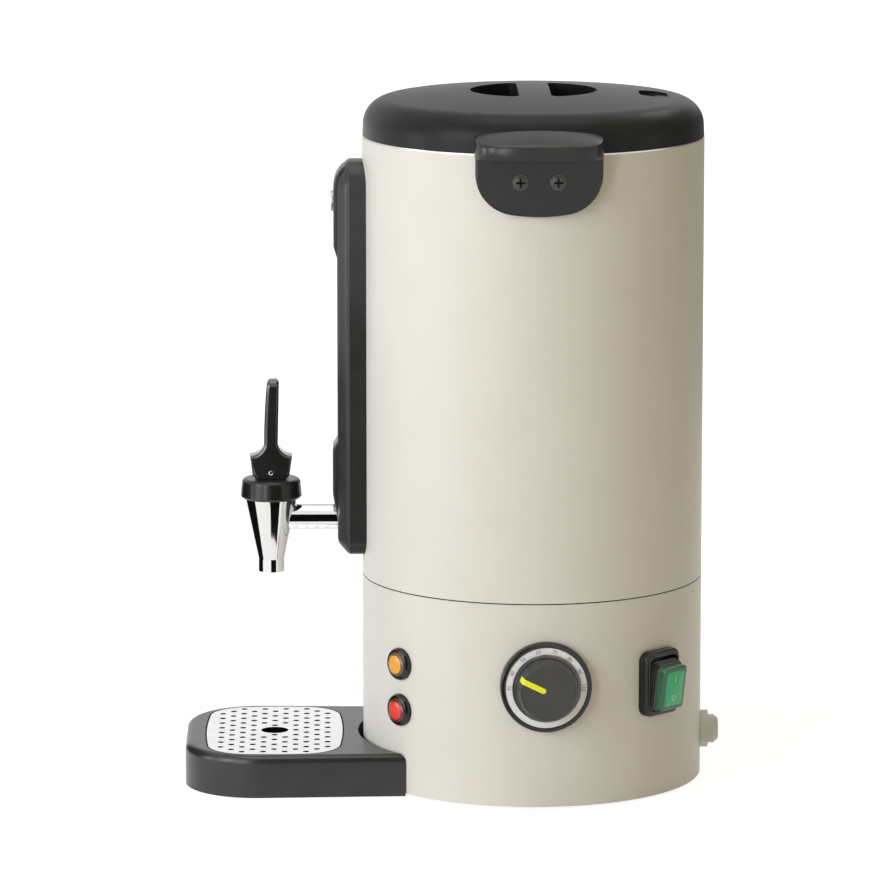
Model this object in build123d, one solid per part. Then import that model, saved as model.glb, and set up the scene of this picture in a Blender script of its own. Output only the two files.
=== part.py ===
from build123d import *
import math
import os

# Hot water urn with a lever tap, a water gauge, a drip tray and a control panel.
# Lengths are in mm, angles in degrees.
# The pieces are built about the tank's axis: Z up from the table, tap towards -Y, handles along X.
# At the end every piece is shifted along Y, which puts the origin at the centre of the footprint.

# ---- walls and gaps ----
CURVED_SEAT = 0.2        # gap between two curved faces that seat on each other
FIT_GAP = 0.3            # gap round a piece that drops into its place
MOVING_GAP = 0.3         # gap between a moving piece and its seat
RUNNING_GAP = 0.05       # radial clearance of a shaft, pin or stem
SCREW_GAP = 0.3          # radial clearance of a screw in its hole

# ---- body ----
BODY_R = 113.0
JACKET_SHEET = 1.0
BASE_SHEET = 1.2
BASE_BOTTOM_Z = 1.5
SEAM_Z = 136.0
SEAM_HEIGHT = 0.8
JACKET_HEIGHT = 292.2
TANK_GAP = 4.5           # air between the tank and the jacket
TANK_SHEET = 1.0
TANK_CORNER_R = 6.0
TANK_FLOOR_RISE = 13.0   # above the seam
RING_SHELF = 2.0
RING_SHELF_WIDTH = 19.5
RING_WALL = 1.9
RING_SKIRT = 12.0
SEAM_LIP = 0.4           # how far the seam ring lies behind the painted faces

# ---- base ----
PAN_SHEET = 1.5
PAN_RIM = 10.0
HOUSING_LIP = 4.8
VENT_SLOTS = 12
VENT_SLOT_LENGTH = 24.0
VENT_SLOT_WIDTH = 3.2
VENT_INSET = 51.0        # from the painted face to the circle of vents
FOOT_R = 9.0
FOOT_NECK_R = 4.0
FOOT_BARB_R = 5.4
FOOT_BARB = 2.2
FOOT_INSET = 23.0
FOOT_ANGLES = (45.0, 135.0, 225.0, 315.0)
ROD_ACROSS = 8.0
ROD_INSET = 15.0
ROD_ANGLES = (20.0, 160.0, 270.0)
BASE_SCREW_R = 2.0
BASE_SCREW_HEAD_R = 4.4
BASE_SCREW_HEAD = 1.8
BASE_SCREW_LENGTH = 12.0

# ---- lid ----
LID_SETBACK = 0.2        # behind the painted face
LID_TAPER = 0.9
LID_HEIGHT = 30.3
LID_CROWN_R = 800.0
LID_SHOULDER_R = 17.5
LID_WALL = 2.5
GRIP_CIRCLE_R = 41.8
GRIP_BAR = 21.0
GRIP_DEPTH = 20.0
GRIP_CORNER_R = 4.0
GRIP_WALL = 2.0
GRIP_EDGE_R = 1.6
VENT_FROM_EDGE = 33.8
VENT_LENGTH = 34.0
VENT_WIDTH = 19.0
VENT_DEPTH = 2.4
VENT_HOLE_R = 2.6
VENT_HOLE_X = 8.5
LINER_SHEET = 1.5
LINER_DEPTH = 9.0
LINER_GAP = 1.3
SEAL_HEIGHT = 3.0
SEAL_DEPTH = 1.0
LID_BOSS_R = 4.0
LID_BOSS_CIRCLE_R = 62.0
LID_BOSS_ANGLES = (0.0, 65.0, 180.0, 245.0)
LID_SCREW_R = 1.6
LID_SCREW_HEAD_R = 3.2
LID_SCREW_HEAD = 1.6
LID_SCREW_LENGTH = 9.0

# ---- handles ----
HANDLE_R = 42.6
HANDLE_REACH = 23.0      # beyond the painted face
HANDLE_DROP = 1.0        # of the flange's underside, below the jacket's top
HANDLE_RIM = 9.0
HANDLE_DOME = 11.4
HANDLE_WALL = 3.0
HANDLE_LID_GAP = 0.6
PLATE_DEPTH = 5.0
PLATE_WIDTH = 82.0
PLATE_HEIGHT = 38.0
PLATE_CORNER_R = 27.0
PLATE_EDGE_R = 1.5
HANDLE_SCREW_Y = 12.1
HANDLE_SCREW_DROP = 15.0
HANDLE_SCREW_R = 2.3
HANDLE_SCREW_HEAD_R = 4.2
HANDLE_SCREW_HEAD = 1.6
CROSS_LENGTH = 4.4
CROSS_WIDTH = 1.0
CROSS_DEPTH = 0.9
RIVET_NUT_R = 4.2
RIVET_NUT = 2.4

# ---- heater ----
SPREADER_INSET = 22.5
SPREADER = 4.5
ELEMENT_INSET = 14.0
ELEMENT_TUBE_R = 4.0
ELEMENT_GAP_ANGLE = 24.0
ELEMENT_ELBOW_R = 8.0
ELEMENT_LEG = 14.0
CLAMP_INWARD = 18.0      # from the rod's circle
CLAMP_OUTWARD = 12.0
CLAMP_SHEET = 1.5
CLAMP_NOTCH = 36.0
STUD_R = 2.5
STUD_INWARD = 12.0
STUD_ANGLES = (60.0, 180.0, 300.0)
STUD_NUT_ACROSS = 8.0
STUD_NUT = 3.6
CUTOUT_R = 12.0
CUTOUT_HEIGHT = 12.0

# ---- control panel ----
KNOB_ANGLE = 2.7
KNOB_Z = 82.0
BEZEL_R = 28.75
BEZEL_FRONT = 5.2
BEZEL_BORE_R = 9.0
BEZEL_EDGE_R = 1.4
SCALE_R = 26.6
SCALE_INNER_R = 15.0
SCALE_SHEET = 1.0
SCALE_RECESS = 0.6
KNOB_BASE_R = 20.85
KNOB_FACE_R = 18.15
KNOB_HEIGHT = 16.4
KNOB_LIFT = 0.4
KNOB_EDGE_R = 1.2
KNOB_WALL = 2.0
KNOB_HUB_R = 6.5
POINTER_WIDTH = 3.6
POINTER_DEPTH = 0.8
POINTER_START_R = 2.0
POINTER_ANGLE = 154.0
SHAFT_R = 3.0
SHAFT_FLAT = 0.8
SHAFT_IN_KNOB = 10.0
SHAFT_IN_BODY = 8.0
THERMOSTAT_SIZE = 34.0
THERMOSTAT_DEPTH = 26.0
BUSHING_R = 5.5
BUSHING_REACH = 2.2
BUSHING_NUT_ACROSS = 14.0
BULB_R = 3.0
BULB_LENGTH = 52.0
BULB_Y = -22.0
BULB_START_X = -20.0
CAPILLARY_R = 1.0
CAPILLARY_DROP_Z = 110.0
CAPILLARY_BEND_R = 5.0

LAMP_ANGLE = -51.0
AMBER_LAMP_Z = 88.3
RED_LAMP_Z = 57.4
LAMP_BEZEL_R = 10.2
LAMP_BEZEL_FRONT = 2.6
LAMP_BEZEL_DOME = 1.6
LAMP_LENS_R = 8.0
LAMP_LENS_DOME = 2.4
LAMP_BARREL_R = 6.4
LAMP_BARREL_BORE_R = 4.6
LAMP_BARREL_LENGTH = 26.0
LAMP_CLIP_R = 9.0
LAMP_CLIP = 2.2

SWITCH_ANGLE = 44.8
SWITCH_Z = 78.0
FRAME_WIDTH = 31.0
FRAME_HEIGHT = 38.8
FRAME_FRONT = 6.6
FRAME_CORNER_R = 6.0
FRAME_WINDOW_WIDTH = 24.4
FRAME_WINDOW_HEIGHT = 32.6
FRAME_WINDOW_DEPTH = 3.6
SWITCH_BODY_WIDTH = 21.6
SWITCH_BODY_HEIGHT = 29.6
SWITCH_BODY_DEPTH = 28.0
SWITCH_WELL_WIDTH = 18.0
SWITCH_WELL_HEIGHT = 24.0
SWITCH_WELL_DEPTH = 12.0
BLADE_LENGTH = 8.0
BLADE_WIDTH = 6.3
BLADE_SHEET = 0.8
ROCKER_PIVOT = -3.0      # pivot line, outward from the painted face
ROCKER_TILT = 8.0
ROCKER_WIDTH = 20.0
ROCKER_HEIGHT = 26.0
ROCKER_BACK = 9.0
ROCKER_FRONT = 13.4
ROCKER_CORNER_R = 2.6
ROCKER_NECK_WIDTH = 16.0
ROCKER_NECK_HEIGHT = 18.0
ROCKER_PIN_R = 1.5
BOOT_BACK = 5.2
BOOT_MARGIN = 1.1
BOOT_GROOVE = 0.8

GLAND_Z = 28.0
GLAND_LENGTH = 12.0      # outside the painted face
GLAND_ACROSS = 22.0
GLAND_FLANGE = 5.0
GLAND_DOME_R = 9.6
GLAND_TIP_R = 7.0
GLAND_THREAD_R = 8.0
GLAND_BORE_R = 4.0
GLAND_INSIDE = 10.0
GLAND_NUT = 4.0
TERMINAL_LENGTH = 44.0
TERMINAL_WIDTH = 17.0
TERMINAL_HEIGHT = 15.0
TERMINAL_INSET = 51.0
TERMINAL_POLES = 3
TERMINAL_WELL_R = 2.5
RESET_X = -36.0
RESET_Y = -40.0
RESET_SIZE = 28.0
RESET_HEIGHT = 20.0
RESET_BUTTON_R = 3.2
RESET_BUTTON_TIP_Z = 1.6
RESET_BUTTON_LENGTH = 11.0
RESET_TRAVEL = 1.5

# ---- water gauge ----
GAUGE_WIDTH = 47.0
GAUGE_BELOW_PIPE = 25.8
GAUGE_BELOW_RIM = 17.4
GAUGE_TOP_CORNER_R = 17.0
GAUGE_BOTTOM_CORNER_R = 12.5
GAUGE_FLANK = 8.0
GAUGE_DEPTH = 16.0
GAUGE_CROWN_TAPER = 46.0
GAUGE_WALL = 2.5
PAD_WIDTH = 27.0
PAD_EDGE_R = 1.2
UPPER_PAD_DROPS = (80.0, 73.0, 34.0, 26.6)     # below the jacket's top
UPPER_PAD_FRONT = 2.8
LOWER_PAD_RISES = (2.2, 17.2, 45.2, 52.2)      # above the tap's pipe
LOWER_PAD_FRONT = 3.6
WINDOW_WIDTH = 9.0
WINDOW_PAD_GAP = 7.0     # from each pad to the window
GLASS_OUT = 8.0          # from the painted face to the glass's middle
GLASS_R = 4.0
GLASS_WALL = 1.1
GLASS_BELOW_SCREW = 14.0
GLASS_CAP = 9.0
GLASS_CAP_WALL = 1.4
GAUGE_SCREW_DROP = 43.0
GAUGE_SCREW_R = 2.5
GAUGE_SCREW_HEAD_R = 6.85
GAUGE_SCREW_HEAD = 2.0
GAUGE_BOSS_R = 5.2
TEE_WIDTH = 24.0
TEE_GAP = 3.0
TEE_DEPTH = 9.4
TEE_WALL = 2.4
TEE_SOCKET = 6.0
TEE_SOCKET_WALL = 1.6
SEAL_WALL = 1.5

# ---- tap ----
TAP_REACH = 61.0         # from the painted face to the tap's axis
PIPE_Z = 173.8
PIPE_R = 8.5
PIPE_BORE_R = 6.0
PIPE_INSIDE = 9.0
GASKET_R = 13.5
SHANK_NUT_ACROSS = 27.0
SHANK_NUT = 5.0
SPOUT_R = 8.9
SPOUT_LENGTH = 20.5      # below the valve's seat
SPOUT_CYLINDER = 8.5
SPOUT_BORE_R = 6.0
CONE_ABOVE_PIPE = 13.2
CONE_TOP_R = 17.75
SEAT_BELOW_PIPE = 15.8
CHAMBER_BOTTOM_R = 9.4
CHAMBER_TOP_R = 15.3
CHAMBER_NECK = 6.0
BONNET_R = 20.4
BONNET_TOP_R = 19.3
BONNET_HEIGHT = 13.2
BONNET_CHAMFER = 1.4
BONNET_EDGE_R = 2.6
BONNET_CAVITY_R = 12.0
BONNET_CEILING = 3.8
BONNET_SPIGOT_WALL = 2.0
BONNET_SPIGOT = 5.0
PIN_RISE = 4.3           # above the bonnet
PIN_R = 1.5
LEVER_WIDTH = 16.0
PIN_INSET = 0.4          # from each side of the lever
STEM_R = 4.0
STEM_TOP = 4.3           # above the pin
STEM_FOOT_RISE = 3.0     # above the valve's seat
STEM_FLANGE_R = 6.8
STEM_FLANGE = 1.5
PLUG_R = 8.6
PLUG_SHOULDER_R = 8.9
PLUG_SHOULDER = 1.7
PLUG_WAIST_R = 6.2
PLUG_HEIGHT = 12.0
SPRING_R = 6.6
SPRING_WIRE_R = 0.75
SPRING_TURNS = 5
HUB_BOTTOM = 4.0         # below the pin, which is also the round of the hub's lower corners
HUB_HALF_BOTTOM = 12.5
HUB_HALF_TOP = 14.1
HUB_TOP = 11.5           # above the pin
NECK_RISE = 19.5
LEVER_RISE = 62.5
LEVER_LEAN = 1.6
NECK_HALF = 4.6
LEVER_HALF_TOP = 4.0
SHOULDER_R = 8.0
LEVER_EDGE_R = 1.2
LEVER_END_R = 5.0
POCKET_HALF = 9.4
POCKET_TOP = 5.4

# ---- drip tray ----
TRAY_LENGTH = 118.5      # from the painted face to the tray's front
TRAY_HEIGHT = 28.0
TRAY_FRONT_WIDTH = 161.0
TRAY_REAR_WIDTH = 148.6
TRAY_REAR_Y = 70.0
TRAY_CORNER_R = 48.0
TRAY_TIP_R = 5.0
TRAY_EDGE_R = 5.0
TRAY_BODY_GAP = 3.6      # in the middle of the saddle, less at its tips
TRAY_TIP_GAP = 0.8
TRAY_WALL = 2.5
GRILLE_LENGTH = 91.0
GRILLE_WIDTH = 143.0
GRILLE_BULGE = 4.0
GRILLE_CORNER_R = 27.0
GRILLE_SHEET = 1.0
GRILLE_LIP = 4.0
GRILLE_LEDGE = 2.6
GRILLE_OUT = 59.5        # from the painted face to the grille's middle
GRILLE_HOLE_R = 1.7
GRILLE_FINGER_HOLE_R = 9.15
GRILLE_PITCH = 14.2
GRILLE_MARGIN = 4.6
BASIN_FLOOR_Z = 5.0

# ---- worked out from the sizes above ----
TRAY_REACH = BODY_R + TRAY_LENGTH
GLAND_REACH = BODY_R + GLAND_LENGTH
AXIS_SHIFT_Y = (TRAY_REACH - GLAND_REACH) / 2
BASE_INNER_R = BODY_R - BASE_SHEET
JACKET_INNER_R = BODY_R - JACKET_SHEET
TANK_OUTER_R = JACKET_INNER_R - TANK_GAP
TANK_R = TANK_OUTER_R - TANK_SHEET
TANK_FLOOR_Z = SEAM_Z + TANK_FLOOR_RISE
TANK_BOTTOM_Z = TANK_FLOOR_Z - TANK_SHEET
JACKET_BOTTOM_Z = SEAM_Z + SEAM_HEIGHT
JACKET_TOP_Z = JACKET_BOTTOM_Z + JACKET_HEIGHT
RIM_TOP_Z = JACKET_TOP_Z + TANK_SHEET
VENT_CIRCLE_R = BODY_R - VENT_INSET
FOOT_CIRCLE_R = BODY_R - FOOT_INSET
ROD_CIRCLE_R = BODY_R - ROD_INSET
LID_R = BODY_R - LID_SETBACK
LID_BOTTOM_Z = RIM_TOP_Z + MOVING_GAP
LID_TOP_Z = LID_BOTTOM_Z + LID_HEIGHT
VENT_Y = LID_R - VENT_FROM_EDGE
SEAT_R = BODY_R + CURVED_SEAT
HANDLE_CENTRE_X = BODY_R + HANDLE_REACH - HANDLE_R
HANDLE_RIM_Z = JACKET_TOP_Z - HANDLE_DROP
HANDLE_SCREW_Z = HANDLE_RIM_Z - HANDLE_SCREW_DROP
PLATE_FRONT_X = BODY_R + PLATE_DEPTH
PLATE_BOTTOM_Z = HANDLE_RIM_Z - PLATE_HEIGHT
SPREADER_R = TANK_R - SPREADER_INSET
ELEMENT_R = SPREADER_R - ELEMENT_INSET
CLAMP_INNER_R = ELEMENT_R - CLAMP_INWARD
CLAMP_OUTER_R = ELEMENT_R + CLAMP_OUTWARD
STUD_CIRCLE_R = ELEMENT_R - STUD_INWARD
SPREADER_Z = TANK_BOTTOM_Z - SPREADER
ELEMENT_Z = SPREADER_Z - ELEMENT_TUBE_R - RUNNING_GAP
CLAMP_Z = ELEMENT_Z - ELEMENT_TUBE_R - RUNNING_GAP - CLAMP_SHEET
PAN_Z = BASE_BOTTOM_Z + PAN_SHEET
PAN_TOP_Z = PAN_Z + PAN_SHEET
SHELF_BOTTOM_Z = TANK_BOTTOM_Z - RING_SHELF
RING_R = BASE_INNER_R - FIT_GAP
BEZEL_FRONT_X = BODY_R + BEZEL_FRONT
SCALE_FRONT_X = BEZEL_FRONT_X - SCALE_RECESS
KNOB_BACK_X = SCALE_FRONT_X + KNOB_LIFT
KNOB_FACE_X = KNOB_BACK_X + KNOB_HEIGHT
THERMOSTAT_FRONT_X = math.sqrt(BASE_INNER_R ** 2 - (THERMOSTAT_SIZE / 2) ** 2) - CURVED_SEAT
ROCKER_PIVOT_X = BODY_R + ROCKER_PIVOT
TERMINAL_Y = BODY_R - TERMINAL_INSET
GAUGE_BOTTOM_Z = PIPE_Z - GAUGE_BELOW_PIPE
GAUGE_TOP_Z = JACKET_TOP_Z - GAUGE_BELOW_RIM
GAUGE_CENTRE_Z = (GAUGE_TOP_Z + GAUGE_BOTTOM_Z) / 2
GAUGE_FLANK_Y = BODY_R + GAUGE_FLANK
GAUGE_FRONT_Y = BODY_R + GAUGE_DEPTH
UPPER_PAD_HEIGHTS = [JACKET_TOP_Z - drop for drop in UPPER_PAD_DROPS]
LOWER_PAD_HEIGHTS = [PIPE_Z + rise for rise in LOWER_PAD_RISES]
WINDOW_BOTTOM_Z = LOWER_PAD_HEIGHTS[-1] + WINDOW_PAD_GAP
WINDOW_TOP_Z = UPPER_PAD_HEIGHTS[0] - WINDOW_PAD_GAP
GAUGE_SCREW_Z = JACKET_TOP_Z - GAUGE_SCREW_DROP
TEE_TOP_Z = PIPE_Z + PIPE_R + TEE_WALL
TEE_BACK_Y = BODY_R + TEE_GAP
TEE_FRONT_Y = TEE_BACK_Y + TEE_DEPTH
GLASS_Y = BODY_R + GLASS_OUT
GLASS_BOTTOM_Z = TEE_TOP_Z + RUNNING_GAP
GLASS_TOP_Z = GAUGE_SCREW_Z - GLASS_BELOW_SCREW
TAP_Y = BODY_R + TAP_REACH
PIPE_END_Y = TANK_R - PIPE_INSIDE
CONE_TOP_Z = PIPE_Z + CONE_ABOVE_PIPE
SEAT_Z = PIPE_Z - SEAT_BELOW_PIPE
SPOUT_BOTTOM_Z = SEAT_Z - SPOUT_LENGTH
CHAMBER_CONE_TOP_Z = CONE_TOP_Z - CHAMBER_NECK
BONNET_TOP_Z = CONE_TOP_Z + BONNET_HEIGHT
PIN_Z = BONNET_TOP_Z + PIN_RISE
STEM_FOOT_Z = SEAT_Z + STEM_FOOT_RISE
PLUG_TOP_Z = SEAT_Z + PLUG_HEIGHT
SPRING_BOTTOM_Z = PLUG_TOP_Z + STEM_FLANGE
SPRING_TOP_Z = BONNET_TOP_Z - BONNET_CEILING
HUB_TOP_Z = PIN_Z + HUB_TOP
NECK_Z = PIN_Z + NECK_RISE
LEVER_TOP_Z = PIN_Z + LEVER_RISE
GRILLE_CENTRE_Y = BODY_R + GRILLE_OUT


# ---- helpers ----
def tube(outer_r, inner_r, low, high):
    """Straight tube about the Z axis."""
    return Pos(0, 0, low) * extrude(Circle(outer_r) - Circle(inner_r), high - low)


def disc(radius, low, high):
    """Round bar about the Z axis."""
    return Pos(0, 0, low) * extrude(Circle(radius), high - low)


def bar_out(radius, start, end):
    """Round bar about the X axis."""
    return Pos(start, 0, 0) * (Rot(0, 90, 0) * extrude(Circle(radius), end - start))


def hexagon(across, low, high):
    """Hexagonal bar about the Z axis."""
    return Pos(0, 0, low) * extrude(RegularPolygon(across / 2, 6, major_radius=False), high - low)


def hexagon_out(across, start, end):
    """Hexagonal bar about the X axis."""
    return Pos(start, 0, 0) * (Rot(0, 90, 0) * hexagon(across, 0, end - start))


def turned(points):
    """Solid turned about the Z axis from (radius, height) points."""
    outline = Polyline(*[(r, 0, h) for r, h in points], close=True)
    return revolve(make_face(outline), Axis.Z)


def turned_out(points):
    """Solid turned about the X axis from (distance along X, radius) points."""
    outline = Polyline(*[(x, 0, r) for x, r in points], close=True)
    return revolve(make_face(outline), Axis.X)


def block(x_range, y_range, z_range):
    """Box between two corners."""
    size = [high - low for low, high in (x_range, y_range, z_range)]
    corner = Pos(x_range[0], y_range[0], z_range[0])
    return corner * Box(*size, align=(Align.MIN, Align.MIN, Align.MIN))


def centred(size, middle=0):
    """Range of a size about its middle."""
    return (middle - size / 2, middle + size / 2)


def on_wall(angle, height, shape):
    """Moves a shape built about the X axis to a place on the round wall."""
    return Rot(0, 0, angle) * (Pos(0, 0, height) * shape)


def round_at(radius, angle, shape):
    """Moves a shape built about the Z axis to a place on a circle."""
    return Rot(0, 0, angle) * (Pos(radius, 0, 0) * shape)


def inside_of(radius, shape):
    """The part of a shape that lies within a round wall."""
    return shape & disc(radius, -20, 2 * LID_TOP_Z)


def outside_of(radius, shape):
    """The part of a shape that lies outside a round wall."""
    return shape - disc(radius, -20, 2 * LID_TOP_Z)


def panel_out(width, height, corner, start, end):
    """Rounded rectangular bar along X, its width along Y and its height along Z."""
    plane = Plane(origin=(start, 0, 0), x_dir=(0, 1, 0), z_dir=(1, 0, 0))
    return extrude(plane * RectangleRounded(width, height, corner), end - start)


def towards_tap(depth):
    """Plane that faces the tap side, at a distance from the tank's axis. Its x is X and its y is Z."""
    return Plane(origin=(0, -depth, 0), x_dir=(1, 0, 0), z_dir=(0, -1, 0))


def bar_to_tap(radius, near, far, height):
    """Round bar from the tank's axis towards the tap."""
    return extrude(towards_tap(near) * Pos(0, height) * Circle(radius), far - near)


def group(shapes):
    """Several separate solids in one node."""
    return Compound([solid for shape in shapes for solid in shape.solids()])


# ---- body ----
def outer_jacket():
    shell = tube(BODY_R, JACKET_INNER_R, JACKET_BOTTOM_Z, JACKET_TOP_Z)
    shell -= bar_to_tap(PIPE_R + SCREW_GAP, TANK_OUTER_R, BODY_R + 5, PIPE_Z)
    shell -= bar_to_tap(GAUGE_SCREW_R + SCREW_GAP, TANK_OUTER_R, BODY_R + 5, GAUGE_SCREW_Z)
    for side in (0, 180):
        for across in (-HANDLE_SCREW_Y, HANDLE_SCREW_Y):
            hole = bar_out(HANDLE_SCREW_R + SCREW_GAP, TANK_OUTER_R, BODY_R + 5)
            shell -= on_wall(side, HANDLE_SCREW_Z, Pos(0, across, 0) * hole)
    return shell


def inner_tank():
    body = disc(TANK_OUTER_R, TANK_BOTTOM_Z, JACKET_TOP_Z)
    body = fillet(body.edges().group_by(Axis.Z)[0], TANK_CORNER_R)
    body += disc(BODY_R - SEAM_LIP, JACKET_TOP_Z, RIM_TOP_Z)
    space = disc(TANK_R, TANK_FLOOR_Z, RIM_TOP_Z + 1)
    body -= fillet(space.edges().group_by(Axis.Z)[0], TANK_CORNER_R - TANK_SHEET)
    return body - bar_to_tap(PIPE_R + SCREW_GAP, PIPE_END_Y, BODY_R, PIPE_Z)


def support_ring():
    """Moulded ring that joins the two painted tubes at the seam and carries the tank on its shelf."""
    inner = RING_R - RING_WALL
    return turned([
        (inner, SEAM_Z - RING_SKIRT), (RING_R, SEAM_Z - RING_SKIRT), (RING_R, SEAM_Z),
        (BODY_R - SEAM_LIP, SEAM_Z), (BODY_R - SEAM_LIP, JACKET_BOTTOM_Z), (RING_R, JACKET_BOTTOM_Z),
        (RING_R, TANK_BOTTOM_Z), (RING_R - RING_SHELF_WIDTH, TANK_BOTTOM_Z),
        (RING_R - RING_SHELF_WIDTH, SHELF_BOTTOM_Z), (inner, SHELF_BOTTOM_Z),
    ])


def base_housing():
    shell = tube(BODY_R, BASE_INNER_R, BASE_BOTTOM_Z, SEAM_Z)
    shell += tube(BASE_INNER_R + BASE_SHEET / 2, BASE_INNER_R - HOUSING_LIP, BASE_BOTTOM_Z, PAN_Z)
    start, end = BASE_INNER_R - 6, BODY_R + 5
    shell -= on_wall(KNOB_ANGLE, KNOB_Z, bar_out(BUSHING_R + SCREW_GAP, start, end))
    for height in (AMBER_LAMP_Z, RED_LAMP_Z):
        shell -= on_wall(LAMP_ANGLE, height, bar_out(LAMP_BARREL_R + SCREW_GAP, start, end))
    width, tall = SWITCH_BODY_WIDTH + 2 * FIT_GAP, SWITCH_BODY_HEIGHT + 2 * FIT_GAP
    shell -= on_wall(SWITCH_ANGLE, SWITCH_Z, panel_out(width, tall, 1, start, end))
    return shell - on_wall(90, GLAND_Z, bar_out(GLAND_THREAD_R + SCREW_GAP, start, end))


def base_plate():
    """Black pan that closes the base, with vents, and holes for feet, screws and the reset button."""
    rim_r = BASE_INNER_R - FIT_GAP
    pan = disc(rim_r, PAN_Z, PAN_TOP_Z) + tube(rim_r, rim_r - PAN_SHEET, PAN_Z, PAN_TOP_Z + PAN_RIM)
    for step in range(VENT_SLOTS):
        slot = extrude(SlotOverall(VENT_SLOT_LENGTH, VENT_SLOT_WIDTH), 3 * PAN_SHEET)
        pan -= round_at(VENT_CIRCLE_R, 15 + step * 360 / VENT_SLOTS, slot)
    for angle in FOOT_ANGLES:
        pan -= round_at(FOOT_CIRCLE_R, angle, disc(FOOT_NECK_R, 0, PAN_TOP_Z))
    for angle in ROD_ANGLES:
        pan -= round_at(ROD_CIRCLE_R, angle, disc(BASE_SCREW_R + SCREW_GAP, 0, PAN_TOP_Z))
    return pan - Pos(RESET_X, RESET_Y, 0) * disc(RESET_BUTTON_R + 1, 0, PAN_TOP_Z)


def rubber_feet():
    foot = disc(FOOT_R, 0, PAN_Z) + disc(FOOT_NECK_R, PAN_Z, PAN_TOP_Z)
    foot += turned([(0, PAN_TOP_Z), (FOOT_BARB_R, PAN_TOP_Z), (FOOT_NECK_R - 1, PAN_TOP_Z + FOOT_BARB),
                    (0, PAN_TOP_Z + FOOT_BARB)])
    return group(round_at(FOOT_CIRCLE_R, angle, foot) for angle in FOOT_ANGLES)


def tie_rods():
    rod = hexagon(ROD_ACROSS, PAN_TOP_Z, SHELF_BOTTOM_Z)
    rod -= disc(BASE_SCREW_R + RUNNING_GAP, 0, PAN_Z + BASE_SCREW_LENGTH + 2)
    return group(round_at(ROD_CIRCLE_R, angle, rod) for angle in ROD_ANGLES)


def base_screws():
    screw = disc(BASE_SCREW_HEAD_R, PAN_Z - BASE_SCREW_HEAD, PAN_Z)
    screw += disc(BASE_SCREW_R, PAN_Z, PAN_Z + BASE_SCREW_LENGTH)
    return group(round_at(ROD_CIRCLE_R, angle, screw) for angle in ROD_ANGLES)


# ---- lid ----
def crown_outline(inset):
    """Half section of the lid's dome: nearly upright side, round shoulder, shallow crown."""
    low, top = LID_BOTTOM_Z, LID_TOP_Z - inset
    side, shoulder = LID_R - inset, LID_R - LID_TAPER - inset
    crown_r = LID_CROWN_R - inset
    drop = crown_r - math.sqrt(crown_r ** 2 - shoulder ** 2)
    half_drop = crown_r - math.sqrt(crown_r ** 2 - (shoulder / 2) ** 2)
    corner = (shoulder, 0, top - drop)
    edges = [
        Line((0, 0, low), (side, 0, low)),
        Line((side, 0, low), corner),
        ThreePointArc(corner, (shoulder / 2, 0, top - half_drop), (0, 0, top)),
        Line((0, 0, top), (0, 0, low)),
    ]
    face = make_face(edges)
    corner_vertex = face.vertices().sort_by_distance(corner)[0]
    return fillet(corner_vertex, LID_SHOULDER_R - inset)


def grip_half(radius, bar, corner):
    """D shape between the grip bar and the grip circle, on the +Y side."""
    shape = Circle(radius) & Pos(0, bar / 2 + radius) * Rectangle(2 * radius, 2 * radius)
    return fillet(shape.vertices(), corner)


def grip_pockets(radius, bar, corner, low, high):
    """The two D-shaped pockets, or the cups round them."""
    half = Pos(0, 0, low) * extrude(grip_half(radius, bar, corner), high - low)
    return half + Rot(0, 0, 180) * half


def lid_cover():
    dome = revolve(crown_outline(0), Axis.Z)
    hollow = revolve(crown_outline(LID_WALL), Axis.Z)
    floor = LID_TOP_Z - GRIP_DEPTH
    shell = dome - hollow
    shell += grip_pockets(GRIP_CIRCLE_R + GRIP_WALL, GRIP_BAR - 2 * GRIP_WALL, GRIP_CORNER_R + GRIP_WALL,
                          floor - GRIP_WALL, LID_TOP_Z - LID_WALL / 2 - 1)
    for angle in LID_BOSS_ANGLES:
        low = LID_BOTTOM_Z + LINER_GAP + LINER_SHEET
        boss = disc(LID_BOSS_R, low, LID_TOP_Z - LID_WALL - 1)
        boss -= disc(LID_SCREW_R, 0, low + LID_SCREW_LENGTH)
        shell += round_at(LID_BOSS_CIRCLE_R, angle, boss)
    shell -= grip_pockets(GRIP_CIRCLE_R, GRIP_BAR, GRIP_CORNER_R, floor, LID_TOP_Z + 1)
    vent_top = LID_TOP_Z - LID_CROWN_R + math.sqrt(LID_CROWN_R ** 2 - VENT_Y ** 2)
    vent = extrude(SlotOverall(VENT_LENGTH, VENT_WIDTH), LID_WALL + VENT_DEPTH)
    shell += Pos(0, VENT_Y, vent_top - VENT_DEPTH - LID_WALL) * extrude(
        SlotOverall(VENT_LENGTH + LID_WALL, VENT_WIDTH + LID_WALL), LID_WALL + VENT_DEPTH - 1)
    shell -= Pos(0, VENT_Y, vent_top - VENT_DEPTH) * vent
    for across in (-VENT_HOLE_X, VENT_HOLE_X):
        shell -= Pos(across, VENT_Y, 0) * disc(VENT_HOLE_R, LID_BOTTOM_Z, LID_TOP_Z)
    return shell


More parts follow.
